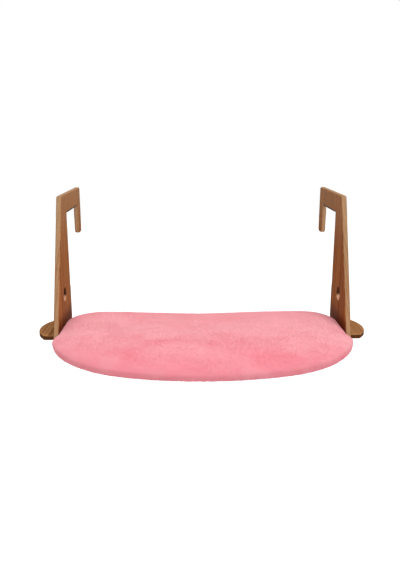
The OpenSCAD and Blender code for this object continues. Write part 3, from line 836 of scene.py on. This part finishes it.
def stained_wood(n, g):
    """Stained wood with its grain along Z: uneven rings round a far pith, fibres, pores, worn corners."""
    rings_per_metre = 185.0
    pith_place = (0.045, -0.16, 0)
    bend = n.noise(g["Vector"], 11.0, along=(1, 1, 0.12), output="Color")
    drift = n.vectors("MULTIPLY_ADD", bend, (0.030, 0.030, 0), g["Vector"])
    pith = n.vectors("DISTANCE", n.vectors("MULTIPLY", drift, (1, 1, 0)), pith_place, output="Value")
    rings = n.times(pith, rings_per_metre)
    uneven = n.put("TexNoise", {"W": rings, "Scale": 0.35, "Detail": 1.0}, noise_dimensions="1D")
    rings = n.plus(rings, n.times(uneven.outputs[0], 2.0))
    # Late wood darkens slowly through each ring and ends sharply, and some years are darker than others
    turn = n.maths("FRACT", rings)
    late = n.times(n.ramp(turn, 0.30, 0.90), n.less(1.0, n.ramp(turn, 0.90, 1.0)))
    year = n.put("TexWhiteNoise", {"W": n.maths("FLOOR", rings)}, noise_dimensions="1D").outputs["Value"]
    late = n.times(late, n.plus(0.25, n.times(year, 0.75)))
    broad = n.noise(g["Vector"], 60.0, 3.0, 0.6, along=(1, 1, 0.10))
    fibres = n.noise(g["Vector"], 900.0, 3.0, 0.7, along=(1, 1, 0.03))
    pores = n.ramp(n.noise(g["Vector"], 1500.0, 1.0, along=(1, 1, 0.045)), 0.60, 0.72)
    depth = n.plus(n.plus(n.times(late, 0.55), n.times(broad, 0.75)), n.times(fibres, 0.5))
    tone = n.mix(n.ramp(depth, 0.35, 1.15), g["Light"], g["Dark"])
    # Edges take their own tone: on the brackets paler, partly sanded wood and partly painted light on the
    # front edges
    edge = n.laid_over(g["Edge"], n.ramp(depth, 0.25, 1.35), 0.6, g["Dark"])
    tone = n.mix(g["Edge mask"], tone, edge)
    ends = n.ramp(g["End grain"], 0.6, 0.95)
    rubbed = n.times(g["Wear"], n.ramp(n.noise(g["Vector"], 160.0, 3.0), 0.40, 0.68))
    # Each mask, how strongly its tone is laid on, and the tone. The first four are painted: light towards
    # the arm, shade low on the inner face where the cushion meets it, shade in the hole, and a highlight on
    # the hole's lower lip
    for mask, share, second in (
        (g["Painted top light"], 0.30, (0.52, 0.34, 0.19)),
        (g["Painted contact shade"], 0.80, (0.085, 0.010, 0.003)),
        (g["Painted hole shade"], 0.92, (0.040, 0.010, 0.004)),
        (g["Painted lip light"], 0.85, (0.95, 0.50, 0.32)),
        (pores, 0.30, (0.07, 0.028, 0.010)),
        (ends, g["End depth"], (0.085, 0.030, 0.010)),
        (rubbed, 0.35, (0.55, 0.33, 0.18)),
    ):
        tone = n.laid_over(tone, mask, share, second)
    rough = n.plus(0.46, n.times(fibres, 0.22))
    return tone, rough, n.less(n.times(fibres, 0.5), pores)


def short_pile(n, g):
    """Brushed patches that catch the light, streaks along the nap and fine clumps.

    The pile is drawn laid down most towards the front edge, as painted shade where the rolled edge turns
    down, and least towards the rear, as painted sheen. It is also a little lighter on the right half.
    """
    moved = n.vectors("ADD", g["Vector"], (-0.16, 0, 0))
    patches = n.ramp(n.noise(moved, 14.0, 3.0, along=(1, 1.6, 1)), 0.32, 0.70)
    streaks = n.ramp(n.noise(g["Vector"], 60.0, 3.0, along=(1, 0.35, 1)), 0.30, 0.70)
    spot = n.parts(g["Vector"])
    # Painted shade towards the front edge and painted sheen towards the rear, by how far the pile is laid; a
    # little lighter on the right half
    rear = n.ramp(spot["Y"], COVER_LOW.y, FOOT_Y)
    right = n.ramp(spot["X"], -0.9 * INNER_X, 0.0)
    laid = n.plus(n.plus(n.times(patches, 0.45), n.times(streaks, 0.15)), n.times(g["Tint"], 0.2))
    laid = n.less(n.less(n.plus(laid, 0.75), n.times(right, 0.15)), rear, clamp=True)
    tone = n.mix(laid, g["Raised"], g["Brushed"])
    # Painted shade towards the roots of the tufts, which cast no shade of their own; the backing takes some
    # of it too
    tone = n.laid_over(tone, n.less(1.0, g["Tip"]), 0.12, (0.90, 0.26, 0.33))
    return tone, n.noise(g["Vector"], 330.0, 3.0, 0.6)


def plain_weave(n, g):
    """Threads that pass over and under each other, so many per metre."""
    spot = n.parts(g["Vector"])
    turns = n.times(g["Threads"], math.pi)
    warp = n.maths("SINE", n.times(spot["X"], turns))
    weft = n.maths("SINE", n.times(n.plus(spot["Y"], spot["Z"]), turns))
    height = n.plus(0.5, n.times(n.times(warp, weft), 0.5))
    # Painted shade where the threads dip under each other
    tone = n.laid_over(g["Colour"], n.less(1.0, height), 0.3, (0.5, 0.45, 0.45), "MULTIPLY")
    worn = n.noise(g["Vector"], 60.0, 3.0)
    return n.laid_over(tone, worn, 0.12, (0.4, 0.35, 0.35), "MULTIPLY"), height


def matted_fibres(n, g):
    """Felt, filling and grip tape: speckled colour and a rough height."""
    fibres = n.noise(g["Vector"], g["Scale"], 4.0, 0.7)
    pale = n.mix(0.5, g["Colour"], (0.9, 0.85, 0.8))
    tone = n.laid_over(g["Colour"], n.ramp(fibres, 0.4, 0.65), g["Speckle"], pale)
    return n.laid_over(tone, n.noise(g["Vector"], 90.0), 0.25, (0.3, 0.3, 0.3), "MULTIPLY"), fibres


def plated_metal(n, g):
    """Fine scratches, and faint smudges in the colour."""
    scratches = n.noise(g["Vector"], 4000.0, along=(1, 1, 0.05))
    tone = n.laid_over(g["Colour"], n.noise(g["Vector"], 400.0, 3.0), 0.3, (0.4, 0.4, 0.41))
    return tone, n.plus(g["Roughness"], n.times(scratches, 0.18)), scratches


# Shared effects: the function that makes each, the names of its inputs, and of what it returns
EFFECTS = {
    "Stained wood": (
        stained_wood,
        ("Vector", "Light", "Dark", "Edge", "Edge mask", "End grain", "End depth", "Wear", "Painted hole shade", "Painted top light",
         "Painted contact shade", "Painted lip light"),
        ("Color", "Roughness", "Height"),
    ),
    "Short pile": (short_pile, ("Vector", "Raised", "Brushed", "Tip", "Tint"), ("Color", "Height")),
    "Plain weave": (plain_weave, ("Vector", "Threads", "Colour"), ("Color", "Height")),
    "Matted fibres": (matted_fibres, ("Vector", "Scale", "Colour", "Speckle"), ("Color", "Height")),
    "Plated metal": (plated_metal, ("Vector", "Colour", "Roughness"), ("Color", "Roughness", "Height")),
}
COLOUR_SOCKETS = {"Light", "Dark", "Edge", "Raised", "Brushed", "Colour", "Color"}


def effect_group(name):
    """The node group of a shared effect, made the first time that it is asked for."""
    if name in bpy.data.node_groups:
        return bpy.data.node_groups[name]
    make, ins, outs = EFFECTS[name]
    tree = bpy.data.node_groups.new(name, "ShaderNodeTree")
    for in_out, labels in (("INPUT", ins), ("OUTPUT", outs)):
        for label in labels:
            kind = "Color" if label in COLOUR_SOCKETS else "Vector" if label == "Vector" else "Float"
            tree.interface.new_socket(label, in_out=in_out, socket_type=f"NodeSocket{kind}")
    given = tree.nodes.new("NodeGroupInput").outputs
    results = tree.nodes.new("NodeGroupOutput").inputs
    for value, socket in zip(make(Nodes(tree), given), results):
        tree.links.new(value, socket)
    return tree


def new_material(name):
    """An empty material; returns it, its nodes and the coordinates on the piece."""
    material = bpy.data.materials.new(name)
    material.use_nodes = True
    nodes = Nodes(material.node_tree)
    return material, nodes, nodes.put("TexCoord").outputs


def dress(nodes, effect, values, levels, bump=None):
    """Feeds a shared effect to the Principled shader, and sets the shader's constant levels.

    bump holds the strength and the depth of the effect's height.
    """
    shader = nodes.tree.nodes["Principled BSDF"]
    made = nodes.put("Group", values, node_tree=effect_group(effect)).outputs
    nodes.link(made["Color"], shader.inputs["Base Color"])
    if "Roughness" in made:
        nodes.link(made["Roughness"], shader.inputs["Roughness"])
    for label, level in levels.items():
        nodes.link(level, shader.inputs[label])
    if bump:
        values = {"Height": made["Height"], "Strength": bump[0], "Distance": bump[1]}
        nodes.link(nodes.put("Bump", values).outputs[0], shader.inputs["Normal"])


def wood_material(name, light, dark, edge, grain, face, end_depth, inner=0):
    """Stained, satin-varnished wood, its grain along one axis and its broad faces square to another.

    inner is the way along X that a bracket's inner face looks, or 0 for the seat board. A bracket has
    painted light towards its arm, painted shade low on its inner face where the cushion meets it, and
    painted shade in its hole but for a painted highlight on the lower lip.
    """
    material, n, at = new_material(name)
    axes = {"X": (1, 0, 0), "Y": (0, 1, 0), "Z": (0, 0, 1)}
    upright = (math.pi / 2 if grain == "Y" else 0, 0, 0)

    def towards(way):
        return n.vectors("DOT_PRODUCT", at["Normal"], way, output="Value")

    edge_mask = n.less(1.0, n.ramp(n.maths("ABSOLUTE", towards(axes[face])), 0.2, 0.7))
    values = {
        "Vector": n.put("Mapping", {"Vector": at["Object"], "Rotation": upright}).outputs[0],
        "Light": light,
        "Dark": dark,
        "Edge": edge,
        "Edge mask": edge_mask,
        "End grain": n.maths("ABSOLUTE", towards(axes[grain])),
        "End depth": end_depth,
        "Wear": n.attribute("wear"),
    }
    if inner:
        height = n.parts(at["Object"])["Z"]
        # Masks of painted light and shade: shade in the hole with a highlight on its lower lip, light
        # towards the arm, and shade low on the inner face where the cushion meets it
        lip = n.ramp(towards(axes["Z"]), 0.2, 0.8)
        bore = n.times(n.attribute("bore"), edge_mask)
        low = n.less(1.0, n.ramp(height, BOARD_HIGH.z + 8 * MM, BOARD_HIGH.z + 36 * MM))
        values["Painted hole shade"] = n.times(bore, n.less(1.0, lip))
        values["Painted lip light"] = n.times(bore, lip)
        values["Painted top light"] = n.ramp(height, (FOOT_Z + TOP_Z) / 2, TOP_Z)
        values["Painted contact shade"] = n.times(low, n.ramp(towards((inner, 0, 0)), 0.3, 0.9))
    dress(n, "Stained wood", values, {"Specular IOR Level": 0.012}, (0.35, 0.25 * MM))
    return material


def plush_material(name, f, loose):
    """Pink plush; loose reads the tufts' own marks, and has no bump."""
    material, n, at = new_material(name)
    values = {
        "Vector": at["Object"],
        "Raised": f.plush,
        "Brushed": f.plush_shade,
        "Tip": n.attribute("tip") if loose else 0.35,
        "Tint": n.attribute("tint") if loose else 0.5,
    }
    levels = {
        "Roughness": 0.95,
        "Specular IOR Level": 0.03,
        "Sheen Weight": 0.08,
        "Sheen Roughness": 0.5,
        "Sheen Tint": (1.0, 0.70, 0.74),
    }
    dress(n, "Short pile", values, levels, None if loose else (0.3, 0.3 * MM))
    return material


def cloth_material(name, tone, threads):
    """Woven cloth."""
    material, n, at = new_material(name)
    values = {"Vector": at["Object"], "Threads": threads, "Colour": tone}
    levels = {"Roughness": 0.85, "Specular IOR Level": 0.1, "Sheen Weight": 0.08}
    dress(n, "Plain weave", values, levels, (0.5, 0.15 * MM))
    return material


def matted_material(name, tone, scale, speckle, depth):
    """Felt, filling or grip tape."""
    material, n, at = new_material(name)
    values = {"Vector": at["Object"], "Scale": scale, "Colour": tone, "Speckle": speckle}
    levels = {"Roughness": 0.95, "Specular IOR Level": 0.05, "Sheen Weight": 0.06}
    dress(n, "Matted fibres", values, levels, (0.7, depth))
    return material


def metal_material(name, tone, roughness):
    """Plated steel."""
    material, n, at = new_material(name)
    values = {"Vector": at["Object"], "Colour": tone, "Roughness": roughness}
    dress(n, "Plated metal", values, {"Metallic": 1.0}, (0.1, 0.02 * MM))
    return material


def coil_material(name, tone):
    """Dyed nylon with a soft gloss and a slight change of tone."""
    material, n, at = new_material(name)
    shader = n.tree.nodes["Principled BSDF"]
    varied = n.noise(at["Object"], 700.0)
    n.link(n.mix(n.times(varied, 0.4), tone, (0.5, 0.2, 0.25), "MULTIPLY"), shader.inputs["Base Color"])
    shader.inputs["Roughness"].default_value = 0.38
    return material


def looked_at(n):
    """1 on rays from the camera, on reflections and through glass, 0 on the light that falls on things."""
    rays = n.put("LightPath").outputs
    bounced = n.plus(rays["Is Glossy Ray"], rays["Is Transmission Ray"])
    return n.plus(rays["Is Camera Ray"], bounced, clamp=True)


def finish_node(node, material):
    """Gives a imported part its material, and leaves its shape alone."""
    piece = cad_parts[node]
    piece.data.materials.clear()
    piece.data.materials.append(material)


# Operators


class BED_OT_brackets(bpy.types.Operator):
    """Build both hook brackets with sanded edges, a round hole and a mortise"""

    bl_idname = "bed.brackets"
    bl_label = "Hook brackets"

    def execute(self, context):
        s, b, f = context.scene.bed_brackets, context.scene.bed_board, context.scene.bed_finishes
        tab_y0 = FOOT_Y + b.tab_front
        low = (tab_y0 - s.play, BOARD_LOW.z)
        high = (tab_y0 + b.tab_depth + s.play, BOARD_HIGH.z + s.play)
        # The hole's edges are rounded less than the long ones, and the mortise's are left sharp
        loops = [
            (bracket_outline(s), s.edge_round),
            (circle(hole_centre(s), s.hole_radius), s.edge_round * 0.7),
            (rectangle(low, high), 0),
        ]
        # Each board's side, where it begins along X, the way its inner face looks, and its painted shade,
        # which darkens only the right one
        boards = (("left", -OUTER_X, 1, np.ones(3)), ("right", INNER_X, -1, f.right_painted_shade))
        for side, x0, inner, painted_shade in boards:
            light, dark = (np.multiply(tone, painted_shade) for tone in (f.wood_light, f.wood_dark))
            wood = wood_material(f"bracket_wood_{side}", light, dark, f.wood_edge, grain="Z", face="X",
                                 end_depth=0.2, inner=inner)
            sanded_board(f"hook_bracket_{side}", loops, OUTER_X - INNER_X, STANDING, x0,
                         "frame", wood, [f"bracket_{side}"])
        return {"FINISHED"}


class BED_OT_seat_board(bpy.types.Operator):
    """Build the seat board with its two ears"""

    bl_idname = "bed.seat_board"
    bl_label = "Seat board"

    def execute(self, context):
        s, c, f = context.scene.bed_board, context.scene.bed_cushion, context.scene.bed_finishes
        wood = wood_material("board_wood", f.board_light, f.board_dark, f.board_edge, grain="Y", face="Z",
                             end_depth=0.75)
        loops = [(board_outline(s, c), s.edge_round)]
        sanded_board("seat_plank", loops, BOARD_HIGH.z - BOARD_LOW.z, LYING, BOARD_LOW.z,
                     "frame", wood, ["seat_board"])
        return {"FINISHED"}


class BED_OT_fastenings(bpy.types.Operator):
    """Build the felt strips, and finish the screws and the grip tape"""

    bl_idname = "bed.fastenings"
    bl_label = "Felt, screws and grip tape"

    def execute(self, context):
        f = context.scene.bed_finishes
        felt = matted_material("pressed_felt", f.felt, scale=1800.0, speckle=0.35, depth=0.3 * MM)
        hooks = matted_material("grip_hooks", f.grip, scale=2600.0, speckle=0.5, depth=0.5 * MM)
        loops = matted_material("grip_loops", f.grip, scale=900.0, speckle=0.25, depth=0.5 * MM)
        zinc = metal_material("zinc_plate", f.zinc, roughness=0.3)
        for side in ("left", "right"):
            self.make_felt(f"arm_felt_{side}", f"hook_felt_{side}", LYING, felt)
            self.make_felt(f"back_felt_{side}", f"rest_felt_{side}", FACING_BACK, felt)
            finish_node(f"tab_screws_{side}", zinc)
        finish_node("grip_hook_strips", hooks)
        finish_node("grip_loop_strips", loops)
        return {"FINISHED"}

    def make_felt(self, name, node, plane, felt):
        """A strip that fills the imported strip's box, with rounded corners and softened edges."""
        corner_radius, edge_radius = 1.2 * MM, 0.4 * MM
        low, high = (np.array(corner)[np.argsort(plane)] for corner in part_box(node))
        outline = rounded_outline([(corner, corner_radius) for corner in rectangle(low[:2], high[:2])])
        sanded_board(name, [(outline, edge_radius)], high[2] - low[2], plane, low[2],
                     "frame", felt, [node])


class BED_OT_cushion(bpy.types.Operator):
    """Build the plush cover with its pile, the base panel, its seam and the filling"""

    bl_idname = "bed.cushion"
    bl_label = "Cushion"

    def execute(self, context):
        s, f = context.scene.bed_cushion, context.scene.bed_finishes
        # Points round the plan, then up the rolled edge, then over the crown
        sides, edge_steps, crown_steps = ((640, 56, 84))
        form = CushionForm(s, sides)
        lining_play = s.sink * 0.75
        lining = form.ring_rows(form.lining(lining_play))[::-1]
        hem = form.ring_rows([(s.rim * HEM_IN, BASE_HIGH.z, 0, 0, 1, HEM_EASED)])
        crown = form.crown(np.linspace(1, 1 / crown_steps, crown_steps)[1:])
        section = np.concatenate([smooth_path(form.knots(), edge_steps), crown])
        outer = backing(form.ring_rows(section), s)
        # The lowest row meets the base panel, so it keeps its place
        outer[0] = form.ring_rows(section[:1])[0]
        # The pile begins a sixth of the way up the rolled edge
        piled = outer[edge_steps // 6:]
        plush = plush_material("plush", f, loose=False)
        shell = capped_rings(np.concatenate([lining, hem, outer]))
        cover = new_piece("plush_cover", shell, "cushion", plush, ["cushion_cover"])
        tufted = plush_material("plush_tufts", f, loose=True)
        names = ("pile_left", "pile_mid_left", "pile_mid_right", "pile_right")
        for name, (tufts, marks, tint) in zip(names, pile_tufts(piled, s, len(names), seed=7)):
            pile = new_piece(name, tufts, "cushion", tufted)
            # Light passes between fine fibres, so the tufts throw no shade on each other.
            pile.visible_shadow = False
            pile.visible_diffuse = False
            add_attribute(pile, "tip", marks)
            add_attribute(pile, "tint", tint)
        self.make_base(form, s, f)
        wadding = matted_material("wadding", f.filling, scale=500.0, speckle=0.3, depth=0.8 * MM)
        core = capped_rings(form.ring_rows(form.lining(lining_play + FILLING_GAP)))
        pad = new_piece("fibre_pad", core, "cushion", wadding, ["cushion_filling"])
        return {"FINISHED"}

    def make_base(self, form, s, f):
        """Thin woven panel across the underside, and the stitches that hold it to the hem."""
        edge = s.rim * HEM_IN
        sizes = [0.05, 0.2, 0.4, 0.6, 0.8, 0.95, 1.0]
        below = [(edge, BASE_LOW.z, 0, 0, size, HEM_EASED) for size in sizes]
        above = [(edge, BASE_HIGH.z, 0, 0, size, HEM_EASED) for size in sizes[::-1]]
        cloth = cloth_material("base_cloth", f.base, threads=900.0)
        panel = capped_rings(form.ring_rows(below + above))
        new_piece("base_panel", panel, "cushion", cloth, ["cushion_base"])
        line = form.ring_rows([(edge * 1.12, BASE_LOW.z, 0, 0, 1, HEM_EASED)])[0]
        thread = cloth_material("thread", f.tape, threads=3000.0)
        pitch, size = 4.2 * MM, (1.5 * MM, 0.3 * MM, 0.3 * MM)
        stitches("hem_stitches", line, (0, 0, -1), pitch, size, thread)


class BED_OT_zip(bpy.types.Operator):
    """Build the zip's coil, slider and pull, and finish its tapes and stops"""

    bl_idname = "bed.zip"
    bl_label = "Zip"

    def execute(self, context):
        s, f = context.scene.bed_zip, context.scene.bed_finishes
        tape = cloth_material("zip_tape", f.tape, threads=1600.0)
        for node in ("zip_tape_upper", "zip_tape_lower"):
            finish_node(node, tape)
        nickel = metal_material("nickel_plate", f.nickel, roughness=0.22)
        finish_node("zip_end_stops", nickel)
        self.make_coil(s, coil_material("zip_coil", f.coil))
        self.make_slider(s, nickel)
        self.make_pull(s, nickel)
        self.make_tape_stitches(cloth_material("zip_thread", f.tape, threads=3000.0))
        return {"FINISHED"}

    def make_coil(self, s, material):
        """Two flattened helices side by side, half a pitch apart, one on each tape."""
        # Shares of the chain's half height: how far each helix lies off the middle, and its own reach
        off_middle, reach = 0.42, 0.36
        middle = (CHAIN_LOW + CHAIN_HIGH) / 2
        half = (CHAIN_HIGH - CHAIN_LOW) / 2
        run = 2 * (half.x - s.wire)
        turns = int(run / s.pitch)
        t = np.linspace(0, turns * 2 * math.pi, turns * 10 + 1)
        x = CHAIN_LOW.x + s.wire + run * t / t[-1]
        coils = []
        for side, phase in ((-1, 0), (1, math.pi)):
            y = middle.y + (half.y - s.wire) * np.sin(t + phase)
            z = middle.z + half.z * (side * off_middle + reach * np.cos(t + phase))
            coils.append(flipped(capped_rings(tube_rows(np.stack([x, y, z], axis=1), s.wire, 6))))
        new_piece("zip_coils", joined(coils), "cushion", material, ["zip_chain"])

    def make_slider(self, s, material):
        """A channel section carried along the chain, waisted at its middle, with a looped pivot bar."""
        # Shares of the slider: the depth of its waist, the length and size of its rounded ends, and the
        # span of its loop
        waist_in, end_run, end_size, loop_span = 0.10, 0.06, 0.86, 0.646
        chain_gap, loop_sunk = 0.15 * MM, 0.3 * MM
        low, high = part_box("zip_slider")
        middle = (low + high) / 2
        half = (high - low) / 2
        plate_y = CHAIN_HIGH.y + chain_gap + s.wall
        floor_y = plate_y - s.wall
        lip_z = half.z - s.wall
        section = rounded_outline([
            ((low.y, -half.z), s.edge_round), ((low.y, -lip_z), s.edge_round),
            ((floor_y, -lip_z), s.edge_round), ((floor_y, lip_z), s.edge_round),
            ((low.y, lip_z), s.edge_round), ((low.y, half.z), s.edge_round),
            ((plate_y, half.z), s.wall * 0.9), ((plate_y, -half.z), s.wall * 0.9),
        ], steps=5)
        t = np.linspace(-1, 1, 25)[:, None]
        waist = 1 - waist_in * np.cos(0.5 * math.pi * t) ** 2
        shrink = np.clip((1 - np.abs(t)) / end_run, end_size, 1.0)
        kept_y = plate_y - 1.2 * s.wall
        y = kept_y + (section[None, :, 0] - kept_y) * shrink
        z = middle.z + section[None, :, 1] * shrink * waist
        x = np.broadcast_to(middle.x + half.x * t, y.shape)
        channel = capped_rings(np.stack([x, y, z], axis=2))
        reach = high.y - s.pivot - plate_y + loop_sunk
        a = np.linspace(0, math.pi, 28)
        loop = np.stack([
            middle.x - loop_span * half.x * np.cos(a),
            plate_y - loop_sunk + reach * np.minimum(1, 1.6 * np.sin(a)),
            np.full_like(a, middle.z),
        ], axis=1)
        bar = capped_rings(tube_rows(loop, s.pivot * 0.92, 12))
        new_piece("slider_body", joined([channel, bar]), "slider", material, ["zip_slider"])

    def make_pull(self, s, material):
        """A flat drop-shaped plate with an eye at its top and a small hole near its foot, as (z, x)."""
        low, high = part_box("zip_pull")
        middle = (low + high) / 2
        wide = (high.x - low.x) / 2
        pivot_z = high.z - (high.y - low.y) / 2
        neck_z = pivot_z - 1.3 * (high.y - low.y)
        foot = (low.z + wide, middle.x)
        eye = (pivot_z, middle.x)
        outline = np.concatenate([
            arc(foot, wide, math.pi / 2, 3 * math.pi / 2, 20),
            [(neck_z, middle.x - s.neck)],
            arc(eye, s.neck, -math.pi / 2, math.pi / 2, 16),
            [(neck_z, middle.x + s.neck)],
        ])
        loops = [(outline, s.edge_round)]
        loops += [(circle(centre, s.eye, 24), s.edge_round * 0.8) for centre in (eye, foot)]
        sanded_board("pull_tab", loops, s.pull, FACING_BACK, middle.y - s.pull / 2,
                     "pull", material, ["zip_pull"])

    def make_tape_stitches(self, material):
        """One row of stitches along each tape, where it is sewn to the cover."""
        pitch, size = 3.2 * MM, (1.1 * MM, 0.22 * MM, 0.2 * MM)
        for node, share_up in (("zip_tape_upper", 0.72), ("zip_tape_lower", 0.28)):
            low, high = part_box(node)
            z = low.z + (high.z - low.z) * share_up
            path = np.array([[low.x, high.y, z], [high.x, high.y, z]])
            stitches(f"{node}_stitches", path, (0, 1, 0), pitch, size, material)


class BED_OT_stage(bpy.types.Operator):
    """Set up the camera, the pale floor and the soft studio light"""

    bl_idname = "bed.stage"
    bl_label = "Stage"

    def execute(self, context):
        scene = context.scene
        s = scene.bed_stage
        scene.view_settings.view_transform = "Standard"
        data = bpy.data.cameras.new("camera")
        data.sensor_width = 36.0
        data.lens = s.focal_px / s.frame_px * data.sensor_width
        camera = bpy.data.objects.new("camera", data)
        camera.location = (s.camera_x, FOOT_Y + s.camera_y, FOOT_Z + s.camera_z)
        camera.rotation_euler = (math.pi / 2 - s.pitch, 0, -s.yaw)
        scene.collection.objects.link(camera)
        scene.camera = camera
        self.make_floor(scene, FOOT_Z - s.drop)
        self.make_world(scene)
        # Each lamp's place, the point that it is aimed at, its size and its power
        self.make_lamp(scene, "key", (1.3, -1.5, 1.3), (0.0, -0.1, -0.15), 1.6, 18.5)
        self.make_lamp(scene, "fill", (-0.3, -2.3, 0.1), (0.0, -0.1, -0.15), 1.4, 14)
        self.make_lamp(scene, "top", (0.0, 0.6, 1.9), (0.0, -0.15, -0.2), 1.8, 28)
        return {"FINISHED"}

    def make_floor(self, scene, z):
        """A pale disc under the bed, 12 m across: points on circles whose radius grows as a square."""
        rings, sides = 12, 64
        radii = 6.0 * np.linspace(1, 0.02, rings)[:, None] ** 2
        a = np.linspace(0, 2 * math.pi, sides, endpoint=False)
        rows = np.stack([radii * np.cos(a), radii * np.sin(a), np.full((rings, sides), z)], axis=2)
        mesh = bpy.data.meshes.new("floor")
        mesh.from_pydata(rows.reshape(-1, 3).tolist(), [], grid_quads(rings, sides).tolist())
        floor = bpy.data.objects.new("floor", mesh)
        scene.collection.objects.link(floor)
        material, n, at = new_material("floor_paint")
        paint = n.tree.nodes["Principled BSDF"]
        tone = n.laid_over((0.80, 0.80, 0.80), n.noise(at["Object"], 40.0), 0.02, (0.77, 0.77, 0.77))
        n.link(tone, paint.inputs["Base Color"])
        paint.inputs["Roughness"].default_value = 0.9
        paint.inputs["Specular IOR Level"].default_value = 0.0
        glow = n.put("Emission", {"Color": (1, 1, 1), "Strength": n.times(looked_at(n), 0.8)})
        both = n.put("AddShader", {0: paint.outputs[0], 1: glow.outputs[0]})
        n.link(both.outputs[0], n.tree.nodes["Material Output"].inputs["Surface"])
        mesh.materials.append(material)

    def make_world(self, scene):
        """White to the camera and in reflections, a softer even light elsewhere."""
        world = bpy.data.worlds.new("studio")
        scene.world = world
        world.use_nodes = True
        n = Nodes(world.node_tree)
        back = n.tree.nodes["Background"].inputs
        n.link((1, 1, 1), back["Color"])
        n.link(n.plus(0.42, n.times(looked_at(n), 0.58)), back["Strength"])

    def make_lamp(self, scene, name, place, target, size, power):
        """A square soft light aimed at a point."""
        data = bpy.data.lights.new(name, "AREA")
        data.size = size
        data.energy = power
        lamp = bpy.data.objects.new(name, data)
        lamp.location = place
        lamp.rotation_euler = (Vector(target) - Vector(place)).to_track_quat("-Z", "Y").to_euler()
        scene.collection.objects.link(lamp)


class BED_PT_panel(bpy.types.Panel):
    """The bed's operators and sizes in the sidebar"""

    bl_label = "Radiator cat bed"
    bl_idname = "BED_PT_panel"
    bl_space_type = "VIEW_3D"
    bl_region_type = "UI"
    bl_category = "Cat Bed"

    def draw(self, context):
        for operator in OPERATORS:
            self.layout.operator(operator.bl_idname)
        for name in GROUPED_SIZES:
            box = self.layout.box()
            sizes = getattr(context.scene, name)
            for key in sizes.bl_rna.properties.keys():
                if key not in {"rna_type", "name"}:
                    box.prop(sizes, key)


GROUPED_SIZES = {
    "bed_brackets": BracketSizes,
    "bed_board": BoardSizes,
    "bed_cushion": CushionSizes,
    "bed_zip": ZipSizes,
    "bed_finishes": Finishes,
    "bed_stage": StageSizes,
}
OPERATORS = [BED_OT_stage, BED_OT_brackets, BED_OT_seat_board, BED_OT_fastenings, BED_OT_cushion, BED_OT_zip]
CLASSES = [*GROUPED_SIZES.values(), *OPERATORS, BED_PT_panel]


def register():
    """Registers the classes and hangs the sizes on the scene."""
    for cls in CLASSES:
        bpy.utils.register_class(cls)
    for name, group in GROUPED_SIZES.items():
        setattr(bpy.types.Scene, name, PointerProperty(type=group))


def unregister():
    """Takes the sizes and classes away again."""
    for name in GROUPED_SIZES:
        delattr(bpy.types.Scene, name)
    for cls in reversed(CLASSES):
        bpy.utils.unregister_class(cls)


def main():
    """Builds the stage and every piece."""
    register()
    bpy.ops.bed.stage()
    bpy.ops.bed.brackets()
    bpy.ops.bed.seat_board()
    bpy.ops.bed.fastenings()
    bpy.ops.bed.cushion()
    bpy.ops.bed.zip()


if __name__ == "__main__":
    main()
